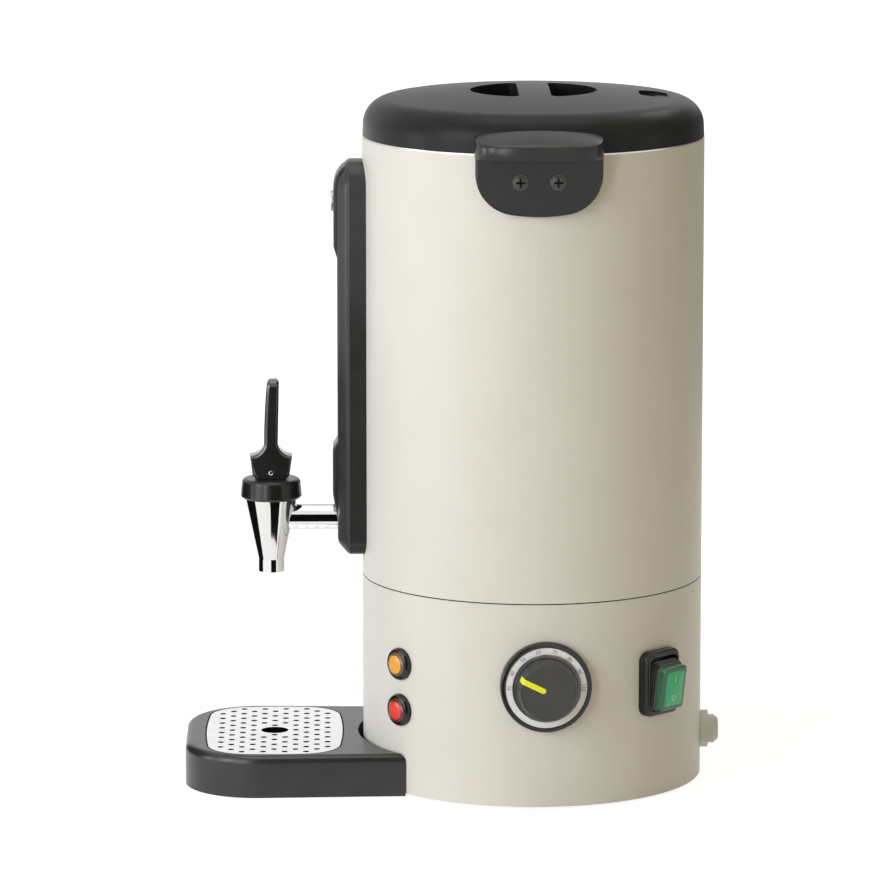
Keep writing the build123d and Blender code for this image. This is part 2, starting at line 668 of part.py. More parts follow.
def lid_liner():
    """Steel plug under the lid, with a turned-down rim that goes into the tank."""
    rim_r = TANK_R - MOVING_GAP - SEAL_DEPTH
    top = LID_BOTTOM_Z + LINER_GAP + LINER_SHEET
    plate = disc(rim_r, top - LINER_SHEET, top)
    plate += tube(rim_r, rim_r - LINER_SHEET, top - LINER_SHEET - LINER_DEPTH, top)
    plate += tube(LID_R - LID_TAPER - LID_WALL - 2 * FIT_GAP, rim_r - LINER_SHEET, top - LINER_SHEET, top)
    for across in (-VENT_HOLE_X, VENT_HOLE_X):
        plate -= Pos(across, VENT_Y, 0) * disc(VENT_HOLE_R, top - 2 * LINER_SHEET, top + 1)
    for angle in LID_BOSS_ANGLES:
        plate -= round_at(LID_BOSS_CIRCLE_R, angle, disc(LID_SCREW_R + SCREW_GAP, 0, top + 1))
    return plate


def lid_seal():
    outer = TANK_R - MOVING_GAP
    top = LID_BOTTOM_Z + LINER_GAP - LINER_DEPTH / 3
    inner = outer - SEAL_DEPTH
    return turned([(inner, top - SEAL_HEIGHT), (outer - SEAL_DEPTH / 2, top - SEAL_HEIGHT),
                   (outer, top - SEAL_HEIGHT / 2), (outer - SEAL_DEPTH / 2, top), (inner, top)])


def lid_screws():
    under = LID_BOTTOM_Z + LINER_GAP
    screw = disc(LID_SCREW_HEAD_R, under - LID_SCREW_HEAD, under)
    screw += disc(LID_SCREW_R, under, under + LID_SCREW_LENGTH)
    return group(round_at(LID_BOSS_CIRCLE_R, angle, screw) for angle in LID_BOSS_ANGLES)


# ---- handles ----
def handle_cap(inset):
    """Domed disc of the handle's flange, or the hollow under it."""
    radius, low = HANDLE_R - inset, HANDLE_RIM_Z
    edge = low + HANDLE_RIM - inset
    dome = HANDLE_DOME * (radius / HANDLE_R) ** 2
    sphere_r = (radius ** 2 + dome ** 2) / (2 * dome)
    half_z = edge + dome - sphere_r + math.sqrt(sphere_r ** 2 - (radius / 2) ** 2)
    face = make_face([
        Line((0, 0, low), (radius, 0, low)),
        Line((radius, 0, low), (radius, 0, edge)),
        ThreePointArc((radius, 0, edge), (radius / 2, 0, half_z), (0, 0, edge + dome)),
        Line((0, 0, edge + dome), (0, 0, low)),
    ])
    return Pos(HANDLE_CENTRE_X, 0, 0) * revolve(face, Axis.Z)


def handle_plate():
    """Upright plate with large round lower corners, which the two screws hold to the jacket."""
    top = HANDLE_RIM_Z + HANDLE_RIM
    plane = Plane(origin=(HANDLE_CENTRE_X, 0, 0), x_dir=(0, 1, 0), z_dir=(1, 0, 0))
    outline = Pos(0, (top + PLATE_BOTTOM_Z) / 2) * Rectangle(PLATE_WIDTH, top - PLATE_BOTTOM_Z)
    outline = fillet(outline.vertices().group_by(Axis.Y)[0], PLATE_CORNER_R)
    plate = extrude(plane * outline, PLATE_FRONT_X - HANDLE_CENTRE_X)
    plate = fillet(plate.faces().sort_by(Axis.X)[-1].edges(), PLATE_EDGE_R)
    return plate & disc_cover()


def disc_cover():
    """Everything below the top of the handle's dome, within its circle or under its rim."""
    cap = handle_cap(0)
    return cap + block((0, 2 * BODY_R), (-BODY_R, BODY_R), (0, HANDLE_RIM_Z + PLATE_EDGE_R))


def handle():
    shape = handle_cap(0) - handle_cap(HANDLE_WALL) + handle_plate()
    shape = outside_of(SEAT_R, shape)
    shape -= disc(LID_R + HANDLE_LID_GAP, RIM_TOP_Z - 1, LID_TOP_Z)
    for across in (-HANDLE_SCREW_Y, HANDLE_SCREW_Y):
        hole = bar_out(HANDLE_SCREW_R + SCREW_GAP, BODY_R - 10, PLATE_FRONT_X + 5)
        shape -= Pos(0, across, HANDLE_SCREW_Z) * hole
    return shape


def cross_recess(depth_from, depth_to):
    """Cross for a screwdriver, cut along X."""
    tall = panel_out(CROSS_WIDTH, CROSS_LENGTH, CROSS_WIDTH / 3, depth_from, depth_to)
    return tall + Rot(90, 0, 0) * tall


def handle_screws():
    front = PLATE_FRONT_X + HANDLE_SCREW_HEAD
    screw = turned_out([(PLATE_FRONT_X, 0), (PLATE_FRONT_X, HANDLE_SCREW_HEAD_R),
                        (front - HANDLE_SCREW_HEAD / 2, HANDLE_SCREW_HEAD_R - 0.3),
                        (front, HANDLE_SCREW_HEAD_R * 0.7), (front, 0)])
    screw += bar_out(HANDLE_SCREW_R, JACKET_INNER_R - RIVET_NUT - 1, PLATE_FRONT_X)
    screw -= cross_recess(front - CROSS_DEPTH, front + 1)
    return group(on_wall(side, HANDLE_SCREW_Z, Pos(0, across, 0) * screw)
                 for side in (0, 180) for across in (-HANDLE_SCREW_Y, HANDLE_SCREW_Y))


def rivet_nuts():
    """Nuts set in the jacket for the handle screws and the gauge screw."""
    start = TANK_OUTER_R + 2 * FIT_GAP
    nut = bar_out(RIVET_NUT_R, start, JACKET_INNER_R)
    handle_nut = nut - bar_out(HANDLE_SCREW_R + RUNNING_GAP, 0, BODY_R)
    gauge_nut = nut - bar_out(GAUGE_SCREW_R + RUNNING_GAP, 0, BODY_R)
    nuts = [on_wall(side, HANDLE_SCREW_Z, Pos(0, across, 0) * handle_nut)
            for side in (0, 180) for across in (-HANDLE_SCREW_Y, HANDLE_SCREW_Y)]
    nuts.append(on_wall(-90, GAUGE_SCREW_Z, gauge_nut))
    inner, outer = TANK_OUTER_R + CURVED_SEAT, JACKET_INNER_R - CURVED_SEAT
    return group(outside_of(inner, inside_of(outer, each)) for each in nuts)


# ---- heater ----
def heat_spreader():
    plate = disc(SPREADER_R, SPREADER_Z, TANK_BOTTOM_Z)
    for angle in STUD_ANGLES:
        plate += round_at(STUD_CIRCLE_R, angle, disc(STUD_R, CLAMP_Z - STUD_NUT - 1, SPREADER_Z))
    return plate


def heating_element():
    """Round heating rod under the spreader, its two ends bent down side by side."""
    half = math.radians(ELEMENT_GAP_ANGLE / 2)
    bend = ELEMENT_ELBOW_R
    x, y = ELEMENT_R * math.cos(half), ELEMENT_R * math.sin(half)
    turn = math.sin(math.radians(45)) * bend
    ends = []
    for side in (1, -1):
        along = (math.sin(half), -side * math.cos(half))
        start = (x, side * y, ELEMENT_Z)
        middle = (x + along[0] * turn, side * y + along[1] * turn, ELEMENT_Z - bend + turn)
        end = (x + along[0] * bend, side * y + along[1] * bend, ELEMENT_Z - bend)
        foot = (end[0], end[1], end[2] - ELEMENT_LEG)
        ends.append((start, middle, end, foot))
    first, last = ends
    path = Wire([
        Line(first[3], first[2]),
        ThreePointArc(first[2], first[1], first[0]),
        ThreePointArc(first[0], (-ELEMENT_R, 0, ELEMENT_Z), last[0]),
        ThreePointArc(last[0], last[1], last[2]),
        Line(last[2], last[3]),
    ])
    return sweep(Plane(origin=first[3], z_dir=(0, 0, 1)) * Circle(ELEMENT_TUBE_R), path=path)


def element_clamp():
    clamp = tube(CLAMP_OUTER_R, CLAMP_INNER_R, CLAMP_Z, CLAMP_Z + CLAMP_SHEET)
    clamp -= block((0, CLAMP_OUTER_R + 1), (-CLAMP_NOTCH / 2, CLAMP_NOTCH / 2), (CLAMP_Z - 1, ELEMENT_Z))
    for angle in STUD_ANGLES:
        clamp -= round_at(STUD_CIRCLE_R, angle, disc(STUD_R + SCREW_GAP, CLAMP_Z - 1, ELEMENT_Z))
    return clamp


def clamp_nuts():
    nut = hexagon(STUD_NUT_ACROSS, CLAMP_Z - STUD_NUT, CLAMP_Z)
    nut -= disc(STUD_R + RUNNING_GAP, 0, CLAMP_Z + 1)
    return group(round_at(STUD_CIRCLE_R, angle, nut) for angle in STUD_ANGLES)


def boil_dry_cutout():
    low = SPREADER_Z - CUTOUT_HEIGHT
    can = disc(CUTOUT_R, low, SPREADER_Z)
    blade = block(centred(BLADE_SHEET), centred(BLADE_WIDTH), (low - BLADE_LENGTH, low + 1))
    for across in (-CUTOUT_R / 2, CUTOUT_R / 2):
        can += Pos(across, 0, 0) * blade
    return can


# ---- thermostat and its dial ----
def thermostat_body():
    size, front = THERMOSTAT_SIZE, THERMOSTAT_FRONT_X
    body = block((front - THERMOSTAT_DEPTH, front), (-size / 2, size / 2), (-size / 2, size / 2))
    body = fillet(body.edges().filter_by(Axis.X), 2)
    nut_front = SEAT_R + BUSHING_REACH
    body += bar_out(BUSHING_R, front - 1, nut_front)
    body -= bar_out(SHAFT_R + RUNNING_GAP, front - SHAFT_IN_BODY - MOVING_GAP, nut_front + 1)
    return on_wall(KNOB_ANGLE, KNOB_Z, body)


def thermostat_nut():
    nut = hexagon_out(BUSHING_NUT_ACROSS, BODY_R - 1, SEAT_R + BUSHING_REACH - FIT_GAP)
    nut -= bar_out(BUSHING_R + RUNNING_GAP, 0, BODY_R + 5)
    return outside_of(SEAT_R, on_wall(KNOB_ANGLE, KNOB_Z, nut))


def flatted_bar(start, flat_from, end, gap):
    """Shaft with a flat along its outer part, or the bore that takes it."""
    bar = bar_out(SHAFT_R + gap, start, end)
    edge = SHAFT_R - SHAFT_FLAT + gap
    return bar - block((flat_from, end + 1), (-SHAFT_R * 2, SHAFT_R * 2), (edge, SHAFT_R * 2))


def thermostat_shaft():
    start = THERMOSTAT_FRONT_X - SHAFT_IN_BODY
    shaft = flatted_bar(start, KNOB_BACK_X, KNOB_BACK_X + SHAFT_IN_KNOB, 0)
    return on_wall(KNOB_ANGLE, KNOB_Z, shaft)


def thermostat_bulb():
    """Sensing bulb under the heat spreader, and the thin tube from it to the thermostat."""
    bulb_z = SPREADER_Z - BULB_R - RUNNING_GAP
    end_x = BULB_START_X + BULB_LENGTH
    inlet_x = THERMOSTAT_FRONT_X - THERMOSTAT_DEPTH / 2
    inlet = on_wall(KNOB_ANGLE, KNOB_Z, Pos(inlet_x, 0, 0) * disc(1, 0, 1))
    inlet_x, inlet_y = inlet.center().X, inlet.center().Y
    top_z = KNOB_Z + THERMOSTAT_SIZE / 2
    path = FilletPolyline(
        (end_x, BULB_Y, bulb_z), (end_x + 2 * CAPILLARY_BEND_R, BULB_Y, bulb_z),
        (end_x + 2 * CAPILLARY_BEND_R, BULB_Y, CAPILLARY_DROP_Z - 1),
        (inlet_x, inlet_y, CAPILLARY_DROP_Z), (inlet_x, inlet_y, top_z),
        radius=CAPILLARY_BEND_R)
    section = Plane(origin=(end_x, BULB_Y, bulb_z), z_dir=(1, 0, 0)) * Circle(CAPILLARY_R)
    bulb = Pos(0, BULB_Y, bulb_z) * bar_out(BULB_R, BULB_START_X, end_x)
    return bulb + sweep(section, path=path)


def knob_form(inset):
    """Outer form of the knob, or the same form set in on every side."""
    face = KNOB_FACE_X - inset
    outline = Polyline((KNOB_BACK_X, 0, 0), (KNOB_BACK_X, 0, KNOB_BASE_R - inset),
                       (face, 0, KNOB_FACE_R - inset), (face, 0, 0), close=True)
    profile = make_face(outline)
    corner = profile.vertices().sort_by_distance((face, 0, KNOB_FACE_R - inset))[0]
    return revolve(fillet(corner, KNOB_EDGE_R), Axis.X)


def knob_pointer_blank():
    """Strip of the knob's skin, from near its centre over its edge."""
    length = KNOB_BASE_R + 2
    depth = (KNOB_BACK_X, KNOB_FACE_X + 1)
    bar = panel_out(POINTER_WIDTH, length - POINTER_START_R, POINTER_WIDTH / 2.01, *depth)
    bar = Pos(0, 0, (length + POINTER_START_R) / 2) * bar
    bar += block(depth, centred(POINTER_WIDTH), (KNOB_FACE_R / 2, length))
    skin = knob_form(0) - knob_form(POINTER_DEPTH)
    sides = (-length, length)
    clear_of_back = block((KNOB_BACK_X + KNOB_HEIGHT / 2, KNOB_FACE_X), sides, sides)
    return Rot(POINTER_ANGLE - 90, 0, 0) * (bar & skin & clear_of_back)


def knob_pointer():
    return on_wall(KNOB_ANGLE, KNOB_Z, knob_pointer_blank())


def thermostat_knob():
    knob = knob_form(0) - knob_pointer_blank()
    hollow = bar_out(KNOB_FACE_R - KNOB_WALL, KNOB_BACK_X - 1, KNOB_FACE_X - 2 * KNOB_WALL)
    knob -= hollow - bar_out(KNOB_HUB_R, 0, KNOB_FACE_X)
    knob -= flatted_bar(KNOB_BACK_X - 1, KNOB_BACK_X - 1, KNOB_BACK_X + SHAFT_IN_KNOB, 0)
    return on_wall(KNOB_ANGLE, KNOB_Z, knob)


def dial_bezel():
    ring = bar_out(BEZEL_R, BODY_R - 10, BEZEL_FRONT_X)
    ring = fillet(ring.edges().group_by(Axis.X)[-1], BEZEL_EDGE_R)
    ring -= bar_out(SCALE_R, SCALE_FRONT_X - SCALE_SHEET, BEZEL_FRONT_X + 1)
    ring -= bar_out(BEZEL_BORE_R, 0, BEZEL_FRONT_X)
    return outside_of(SEAT_R, on_wall(KNOB_ANGLE, KNOB_Z, ring))


def dial_scale_ring():
    ring = bar_out(SCALE_R, SCALE_FRONT_X - SCALE_SHEET, SCALE_FRONT_X)
    ring -= bar_out(SCALE_INNER_R, 0, BEZEL_FRONT_X)
    return on_wall(KNOB_ANGLE, KNOB_Z, ring)


# ---- indicator lamps ----
def lamp_bezel(height):
    """Round black lamp holder with a domed rim and a barrel through the wall."""
    front = BODY_R + LAMP_BEZEL_FRONT
    shape = turned_out([(BODY_R - 5, 0), (BODY_R - 5, LAMP_BEZEL_R), (front - LAMP_BEZEL_DOME, LAMP_BEZEL_R),
                        (front, LAMP_BEZEL_R - 0.6), (front + LAMP_BEZEL_DOME, LAMP_LENS_R + 0.3),
                        (front + LAMP_BEZEL_DOME, 0)])
    shape = outside_of(SEAT_R, on_wall(LAMP_ANGLE, height, shape))
    barrel = bar_out(LAMP_BARREL_R, BODY_R - LAMP_BARREL_LENGTH, front)
    bore = bar_out(LAMP_BARREL_BORE_R, 0, front)
    recess = bar_out(LAMP_LENS_R, front - 1, front + 2 * LAMP_BEZEL_DOME)
    return shape + on_wall(LAMP_ANGLE, height, barrel) - on_wall(LAMP_ANGLE, height, bore + recess)


def lamp_lens(height):
    front = BODY_R + LAMP_BEZEL_FRONT + LAMP_BEZEL_DOME
    back = BODY_R + LAMP_BEZEL_FRONT - 1
    lens = turned_out([(back, 0), (back, LAMP_LENS_R), (front, LAMP_LENS_R),
                       (front + LAMP_LENS_DOME / 2, LAMP_LENS_R * 0.85),
                       (front + LAMP_LENS_DOME * 0.9, LAMP_LENS_R * 0.5), (front + LAMP_LENS_DOME, 0)])
    lens += bar_out(LAMP_BARREL_BORE_R, BODY_R - LAMP_BARREL_LENGTH + 2, back)
    return on_wall(LAMP_ANGLE, height, lens)


def lamp_clips():
    """Spring clips that hold the lamp barrels from inside."""
    clips = []
    for height in (AMBER_LAMP_Z, RED_LAMP_Z):
        clip = bar_out(LAMP_CLIP_R, BASE_INNER_R - LAMP_CLIP - 1, BODY_R)
        clip -= bar_out(LAMP_BARREL_R + RUNNING_GAP, 0, BODY_R + 1)
        clips.append(inside_of(BASE_INNER_R - CURVED_SEAT, on_wall(LAMP_ANGLE, height, clip)))
    return group(clips)


# ---- rocker switch ----
def switch_frame():
    frame = panel_out(FRAME_WIDTH, FRAME_HEIGHT, FRAME_CORNER_R, BODY_R - 5, BODY_R + FRAME_FRONT)
    frame = fillet(frame.faces().sort_by(Axis.X)[-1].edges(), 1.5)
    window_back = BODY_R + FRAME_FRONT - FRAME_WINDOW_DEPTH
    frame -= panel_out(FRAME_WINDOW_WIDTH, FRAME_WINDOW_HEIGHT, FRAME_CORNER_R / 2, window_back, BODY_R + 10)
    width, tall = SWITCH_BODY_WIDTH + 2 * RUNNING_GAP, SWITCH_BODY_HEIGHT + 2 * RUNNING_GAP
    frame -= panel_out(width, tall, 1, 0, BODY_R + 10)
    return outside_of(SEAT_R, on_wall(SWITCH_ANGLE, SWITCH_Z, frame))


def switch_body():
    front = BODY_R + FRAME_FRONT - FRAME_WINDOW_DEPTH
    back = front - SWITCH_BODY_DEPTH
    body = panel_out(SWITCH_BODY_WIDTH, SWITCH_BODY_HEIGHT, 1, back, front)
    body -= panel_out(SWITCH_WELL_WIDTH, SWITCH_WELL_HEIGHT, 2, front - SWITCH_WELL_DEPTH, front + 1)
    pin = Rot(90, 0, 0) * Cylinder(ROCKER_PIN_R + RUNNING_GAP, SWITCH_BODY_WIDTH - 1)
    body -= Pos(ROCKER_PIVOT_X, 0, 0) * pin
    for across in (-1, 1):
        for up in (-1, 1):
            y_range = centred(BLADE_SHEET, across * SWITCH_BODY_WIDTH / 4)
            z_range = centred(BLADE_WIDTH, up * SWITCH_BODY_HEIGHT / 4)
            body += block((back - BLADE_LENGTH, back + 1), y_range, z_range)
    return on_wall(SWITCH_ANGLE, SWITCH_Z, body)


def tilted_rocker(shape):
    """Puts a shape of the rocker at its rest, with the lower half pressed in."""
    at_pivot = Pos(-ROCKER_PIVOT_X, 0, 0) * shape
    tilted = Pos(ROCKER_PIVOT_X, 0, 0) * (Rot(0, ROCKER_TILT, 0) * at_pivot)
    return on_wall(SWITCH_ANGLE, SWITCH_Z, tilted)


def switch_rocker():
    back, front = BODY_R + ROCKER_BACK, BODY_R + ROCKER_FRONT
    cap = panel_out(ROCKER_WIDTH, ROCKER_HEIGHT, ROCKER_CORNER_R, back, front)
    cap = fillet(cap.faces().sort_by(Axis.X)[-1].edges(), 0.9)
    cap += panel_out(ROCKER_NECK_WIDTH, ROCKER_NECK_HEIGHT, 1, ROCKER_PIVOT_X - ROCKER_PIN_R - 1, back + 1)
    pin = Rot(90, 0, 0) * Cylinder(ROCKER_PIN_R, SWITCH_BODY_WIDTH - 2)
    return tilted_rocker(cap + Pos(ROCKER_PIVOT_X, 0, 0) * pin)


def switch_boot():
    """Rubber bellows behind the rocker's cap."""
    back, front = BODY_R + BOOT_BACK, BODY_R + ROCKER_BACK
    width, tall = ROCKER_WIDTH + 2 * BOOT_MARGIN, ROCKER_HEIGHT + 2 * BOOT_MARGIN
    corner = ROCKER_CORNER_R + BOOT_MARGIN
    boot = panel_out(width, tall, corner, back, front)
    middle = (back + front) / 2
    thin = BOOT_GROOVE * 2
    groove = panel_out(width + 2, tall + 2, corner, middle - BOOT_GROOVE / 2, middle + BOOT_GROOVE / 2)
    boot -= groove - panel_out(width - thin, tall - thin, corner, middle - 1, middle + 1)
    return tilted_rocker(boot - panel_out(ROCKER_NECK_WIDTH, ROCKER_NECK_HEIGHT, 1, 0, front + 1))


# ---- mains inlet and safety cut-out ----
def cable_gland():
    flange_end = SEAT_R + GLAND_FLANGE
    gland = hexagon_out(GLAND_ACROSS, BODY_R - 3, flange_end)
    gland += turned_out([(flange_end - 1, 0), (flange_end - 1, GLAND_DOME_R), (GLAND_REACH - 3, GLAND_DOME_R),
                         (GLAND_REACH, GLAND_TIP_R), (GLAND_REACH, 0)])
    gland = outside_of(SEAT_R, gland)
    gland += bar_out(GLAND_THREAD_R, BASE_INNER_R - GLAND_INSIDE, flange_end)
    gland -= bar_out(GLAND_BORE_R, 0, GLAND_REACH + 1)
    return on_wall(90, GLAND_Z, gland)


def gland_nut():
    nut = hexagon_out(GLAND_ACROSS, BASE_INNER_R - GLAND_NUT - 2, BASE_INNER_R)
    nut = inside_of(BASE_INNER_R - CURVED_SEAT, nut) - bar_out(GLAND_THREAD_R + RUNNING_GAP, 0, BODY_R)
    return on_wall(90, GLAND_Z, nut)


def terminal_block():
    top = PAN_TOP_Z + TERMINAL_HEIGHT
    body = block(centred(TERMINAL_LENGTH), centred(TERMINAL_WIDTH, TERMINAL_Y), (PAN_TOP_Z, top))
    pitch = TERMINAL_LENGTH / TERMINAL_POLES
    well = disc(TERMINAL_WELL_R, top - TERMINAL_HEIGHT / 2, top + 1)
    for pole in range(TERMINAL_POLES):
        body -= Pos((pole + 0.5) * pitch - TERMINAL_LENGTH / 2, TERMINAL_Y, 0) * well
    return body


def overheat_cutout():
    height = (PAN_TOP_Z, PAN_TOP_Z + RESET_HEIGHT)
    body = block(centred(RESET_SIZE, RESET_X), centred(RESET_SIZE, RESET_Y), height)
    top = RESET_BUTTON_TIP_Z + RESET_BUTTON_LENGTH + RESET_TRAVEL + MOVING_GAP
    return body - Pos(RESET_X, RESET_Y, 0) * disc(RESET_BUTTON_R + RUNNING_GAP, 0, top)


def reset_button():
    tip = RESET_BUTTON_TIP_Z
    return Pos(RESET_X, RESET_Y, 0) * disc(RESET_BUTTON_R, tip, tip + RESET_BUTTON_LENGTH)


# ---- water gauge ----
def gauge_form(inset):
    """Long rounded cover with upright flanks and a sloping crown, or its inside."""
    width, height = GAUGE_WIDTH - 2 * inset, GAUGE_TOP_Z - GAUGE_BOTTOM_Z - 2 * inset
    outline = Pos(0, GAUGE_CENTRE_Z) * Rectangle(width, height)
    outline = fillet(outline.vertices().group_by(Axis.Y)[-1], GAUGE_TOP_CORNER_R - inset)
    outline = fillet(outline.vertices().group_by(Axis.Y)[0], GAUGE_BOTTOM_CORNER_R - inset)
    back = BODY_R - 10
    flank = extrude(towards_tap(back) * outline, GAUGE_FLANK_Y - inset / 2 - back)
    crown_start = GAUGE_FLANK_Y - inset / 2
    crown = extrude(towards_tap(crown_start) * outline, GAUGE_FRONT_Y - inset - crown_start,
                    taper=GAUGE_CROWN_TAPER)
    return flank + crown


def gauge_pad(heights, front):
    """Raised pad on the crown, with a slope at each end."""
    start = -(GAUGE_FRONT_Y - GAUGE_WALL / 2)
    low, low_full, high_full, high = heights
    y = -GAUGE_FRONT_Y
    outline = Polyline((0, start, low), (0, y, low), (0, y - front, low_full), (0, y - front, high_full),
                       (0, y, high), (0, start, high), close=True)
    pad = extrude(make_face(outline), PAD_WIDTH / 2, both=True, dir=(1, 0, 0))
    return fillet(pad.faces().sort_by(Axis.Y)[0].edges(), PAD_EDGE_R)


def gauge_housing():
    shape = gauge_form(0) + gauge_pad(UPPER_PAD_HEIGHTS, UPPER_PAD_FRONT)
    shape += gauge_pad(LOWER_PAD_HEIGHTS, LOWER_PAD_FRONT)
    shape -= gauge_form(GAUGE_WALL)
    shape += bar_to_tap(GAUGE_BOSS_R, BODY_R - 5, GAUGE_FRONT_Y - 1, GAUGE_SCREW_Z)
    shape -= bar_to_tap(GAUGE_SCREW_R + SCREW_GAP, BODY_R - 10, GAUGE_FRONT_Y + 10, GAUGE_SCREW_Z)
    shape -= bar_to_tap(PIPE_R + FIT_GAP, BODY_R - 10, GAUGE_FRONT_Y + 10, PIPE_Z)
    window = SlotOverall(WINDOW_TOP_Z - WINDOW_BOTTOM_Z, WINDOW_WIDTH, rotation=90)
    middle = (WINDOW_TOP_Z + WINDOW_BOTTOM_Z) / 2
    shape -= extrude(towards_tap(GAUGE_FRONT_Y - 2 * GAUGE_WALL) * Pos(0, middle) * window, 4 * GAUGE_WALL)
    return outside_of(SEAT_R, shape)


def gauge_top_screw():
    head_back = GAUGE_FRONT_Y + UPPER_PAD_FRONT
    screw = bar_to_tap(GAUGE_SCREW_HEAD_R, head_back, head_back + GAUGE_SCREW_HEAD, GAUGE_SCREW_Z)
    screw = fillet(screw.faces().sort_by(Axis.Y)[0].edges(), GAUGE_SCREW_HEAD / 3)
    return screw + bar_to_tap(GAUGE_SCREW_R, JACKET_INNER_R - RIVET_NUT - 1, head_back + 1, GAUGE_SCREW_Z)


def sight_glass():
    return Pos(0, -GLASS_Y, 0) * tube(GLASS_R, GLASS_R - GLASS_WALL, GLASS_BOTTOM_Z, GLASS_TOP_Z)


def sight_glass_seals():
    """Rubber collars round the foot and the head of the sight glass."""
    inner, outer = GLASS_R + RUNNING_GAP, GLASS_R + SEAL_WALL
    foot = tube(outer, inner, GLASS_BOTTOM_Z, GLASS_BOTTOM_Z + TEE_SOCKET - 1)
    head = tube(outer, inner, GLASS_TOP_Z - GLASS_CAP + GLASS_CAP_WALL, GLASS_TOP_Z)
    return Pos(0, -GLASS_Y, 0) * group([foot, head])


def gauge_top_cap():
    outer = GLASS_R + SEAL_WALL + RUNNING_GAP
    cap = disc(outer + GLASS_CAP_WALL, GLASS_TOP_Z - GLASS_CAP, GLASS_TOP_Z + GLASS_CAP_WALL)
    cap -= disc(outer, GLASS_TOP_Z - GLASS_CAP + GLASS_CAP_WALL, GLASS_TOP_Z)
    cap -= disc(GLASS_R + RUNNING_GAP, GLASS_TOP_Z - GLASS_CAP - 1, GLASS_TOP_Z)
    cap -= disc(GLASS_WALL, GLASS_TOP_Z - 1, GLASS_TOP_Z + 5)
    return Pos(0, -GLASS_Y, 0) * (cap & block((-20, 20), (GLASS_Y - TEE_FRONT_Y, 20), (0, LID_TOP_Z)))


def gauge_tee():
    """Brass block round the tap's pipe, with the socket for the sight glass."""
    half = TEE_WIDTH / 2
    low = PIPE_Z - PIPE_R - TEE_WALL
    body = block((-half, half), (-TEE_FRONT_Y, -TEE_BACK_Y), (low, TEE_TOP_Z))
    socket_r = GLASS_R + SEAL_WALL + RUNNING_GAP
    socket = disc(socket_r + TEE_SOCKET_WALL, TEE_TOP_Z, TEE_TOP_Z + TEE_SOCKET)
    socket = Pos(0, -GLASS_Y, 0) * socket
    socket &= block((-half, half), (-TEE_FRONT_Y, -TEE_BACK_Y + TEE_WALL), (low, LID_TOP_Z))
    body += socket
    body -= Pos(0, -GLASS_Y, 0) * disc(socket_r, TEE_TOP_Z, LID_TOP_Z)
    body -= Pos(0, -GLASS_Y, 0) * disc(GLASS_R - GLASS_WALL, PIPE_Z, LID_TOP_Z)
    return body - bar_to_tap(PIPE_R + RUNNING_GAP, BODY_R - 10, GAUGE_FRONT_Y + 10, PIPE_Z)


# ---- tap ----
def tap_body():
    """Chromed casting: tapered valve body with its spout, and the pipe that goes through the wall."""
    spout_top = SPOUT_BOTTOM_Z + SPOUT_CYLINDER
    body = turned([(0, SPOUT_BOTTOM_Z), (SPOUT_R, SPOUT_BOTTOM_Z), (SPOUT_R, spout_top),
                   (CONE_TOP_R, CONE_TOP_Z), (0, CONE_TOP_Z)])
    body = Pos(0, -TAP_Y, 0) * body + bar_to_tap(PIPE_R, PIPE_END_Y, TAP_Y, PIPE_Z)
    chamber = turned([(0, SEAT_Z), (CHAMBER_BOTTOM_R, SEAT_Z), (CHAMBER_TOP_R, CHAMBER_CONE_TOP_Z),
                      (CHAMBER_TOP_R, CONE_TOP_Z + 1), (0, CONE_TOP_Z + 1)])
    chamber += disc(SPOUT_BORE_R, SPOUT_BOTTOM_Z - 1, SEAT_Z + 1)
    body -= Pos(0, -TAP_Y, 0) * chamber
    body -= bar_to_tap(PIPE_BORE_R, PIPE_END_Y - 1, TAP_Y, PIPE_Z)
    return body - Pos(0, -GLASS_Y, 0) * disc(GLASS_R - GLASS_WALL, PIPE_Z, PIPE_Z + PIPE_R + 1)


def shank_gaskets():
    """Rubber rings on the pipe: inside the tank, between tank and jacket, and behind the gauge block."""
    def ring(near, far, radius=GASKET_R):
        full = bar_to_tap(radius, near, far, PIPE_Z)
        return full - bar_to_tap(PIPE_R + RUNNING_GAP, near - 1, far + 1, PIPE_Z)

    nut_face = math.sqrt(TANK_R ** 2 - (SHANK_NUT_ACROSS / 2) ** 2) - 2
    inner = inside_of(TANK_R - CURVED_SEAT, ring(nut_face, TANK_R))
    middle = ring(TANK_OUTER_R - 5, JACKET_INNER_R + 1)
    middle = outside_of(TANK_OUTER_R + CURVED_SEAT, inside_of(JACKET_INNER_R - CURVED_SEAT, middle))
    outer = outside_of(SEAT_R, ring(BODY_R - 5, TEE_BACK_Y, PIPE_R + TEE_WALL - FIT_GAP))
    return group([inner, middle, outer])


def shank_nut():
    nut_face = math.sqrt(TANK_R ** 2 - (SHANK_NUT_ACROSS / 2) ** 2) - 2
    outline = RegularPolygon(SHANK_NUT_ACROSS / 2, 6, major_radius=False)
    nut = extrude(towards_tap(nut_face - SHANK_NUT) * Pos(0, PIPE_Z) * outline, SHANK_NUT)
    return nut - bar_to_tap(PIPE_R + RUNNING_GAP, 0, nut_face + 1, PIPE_Z)


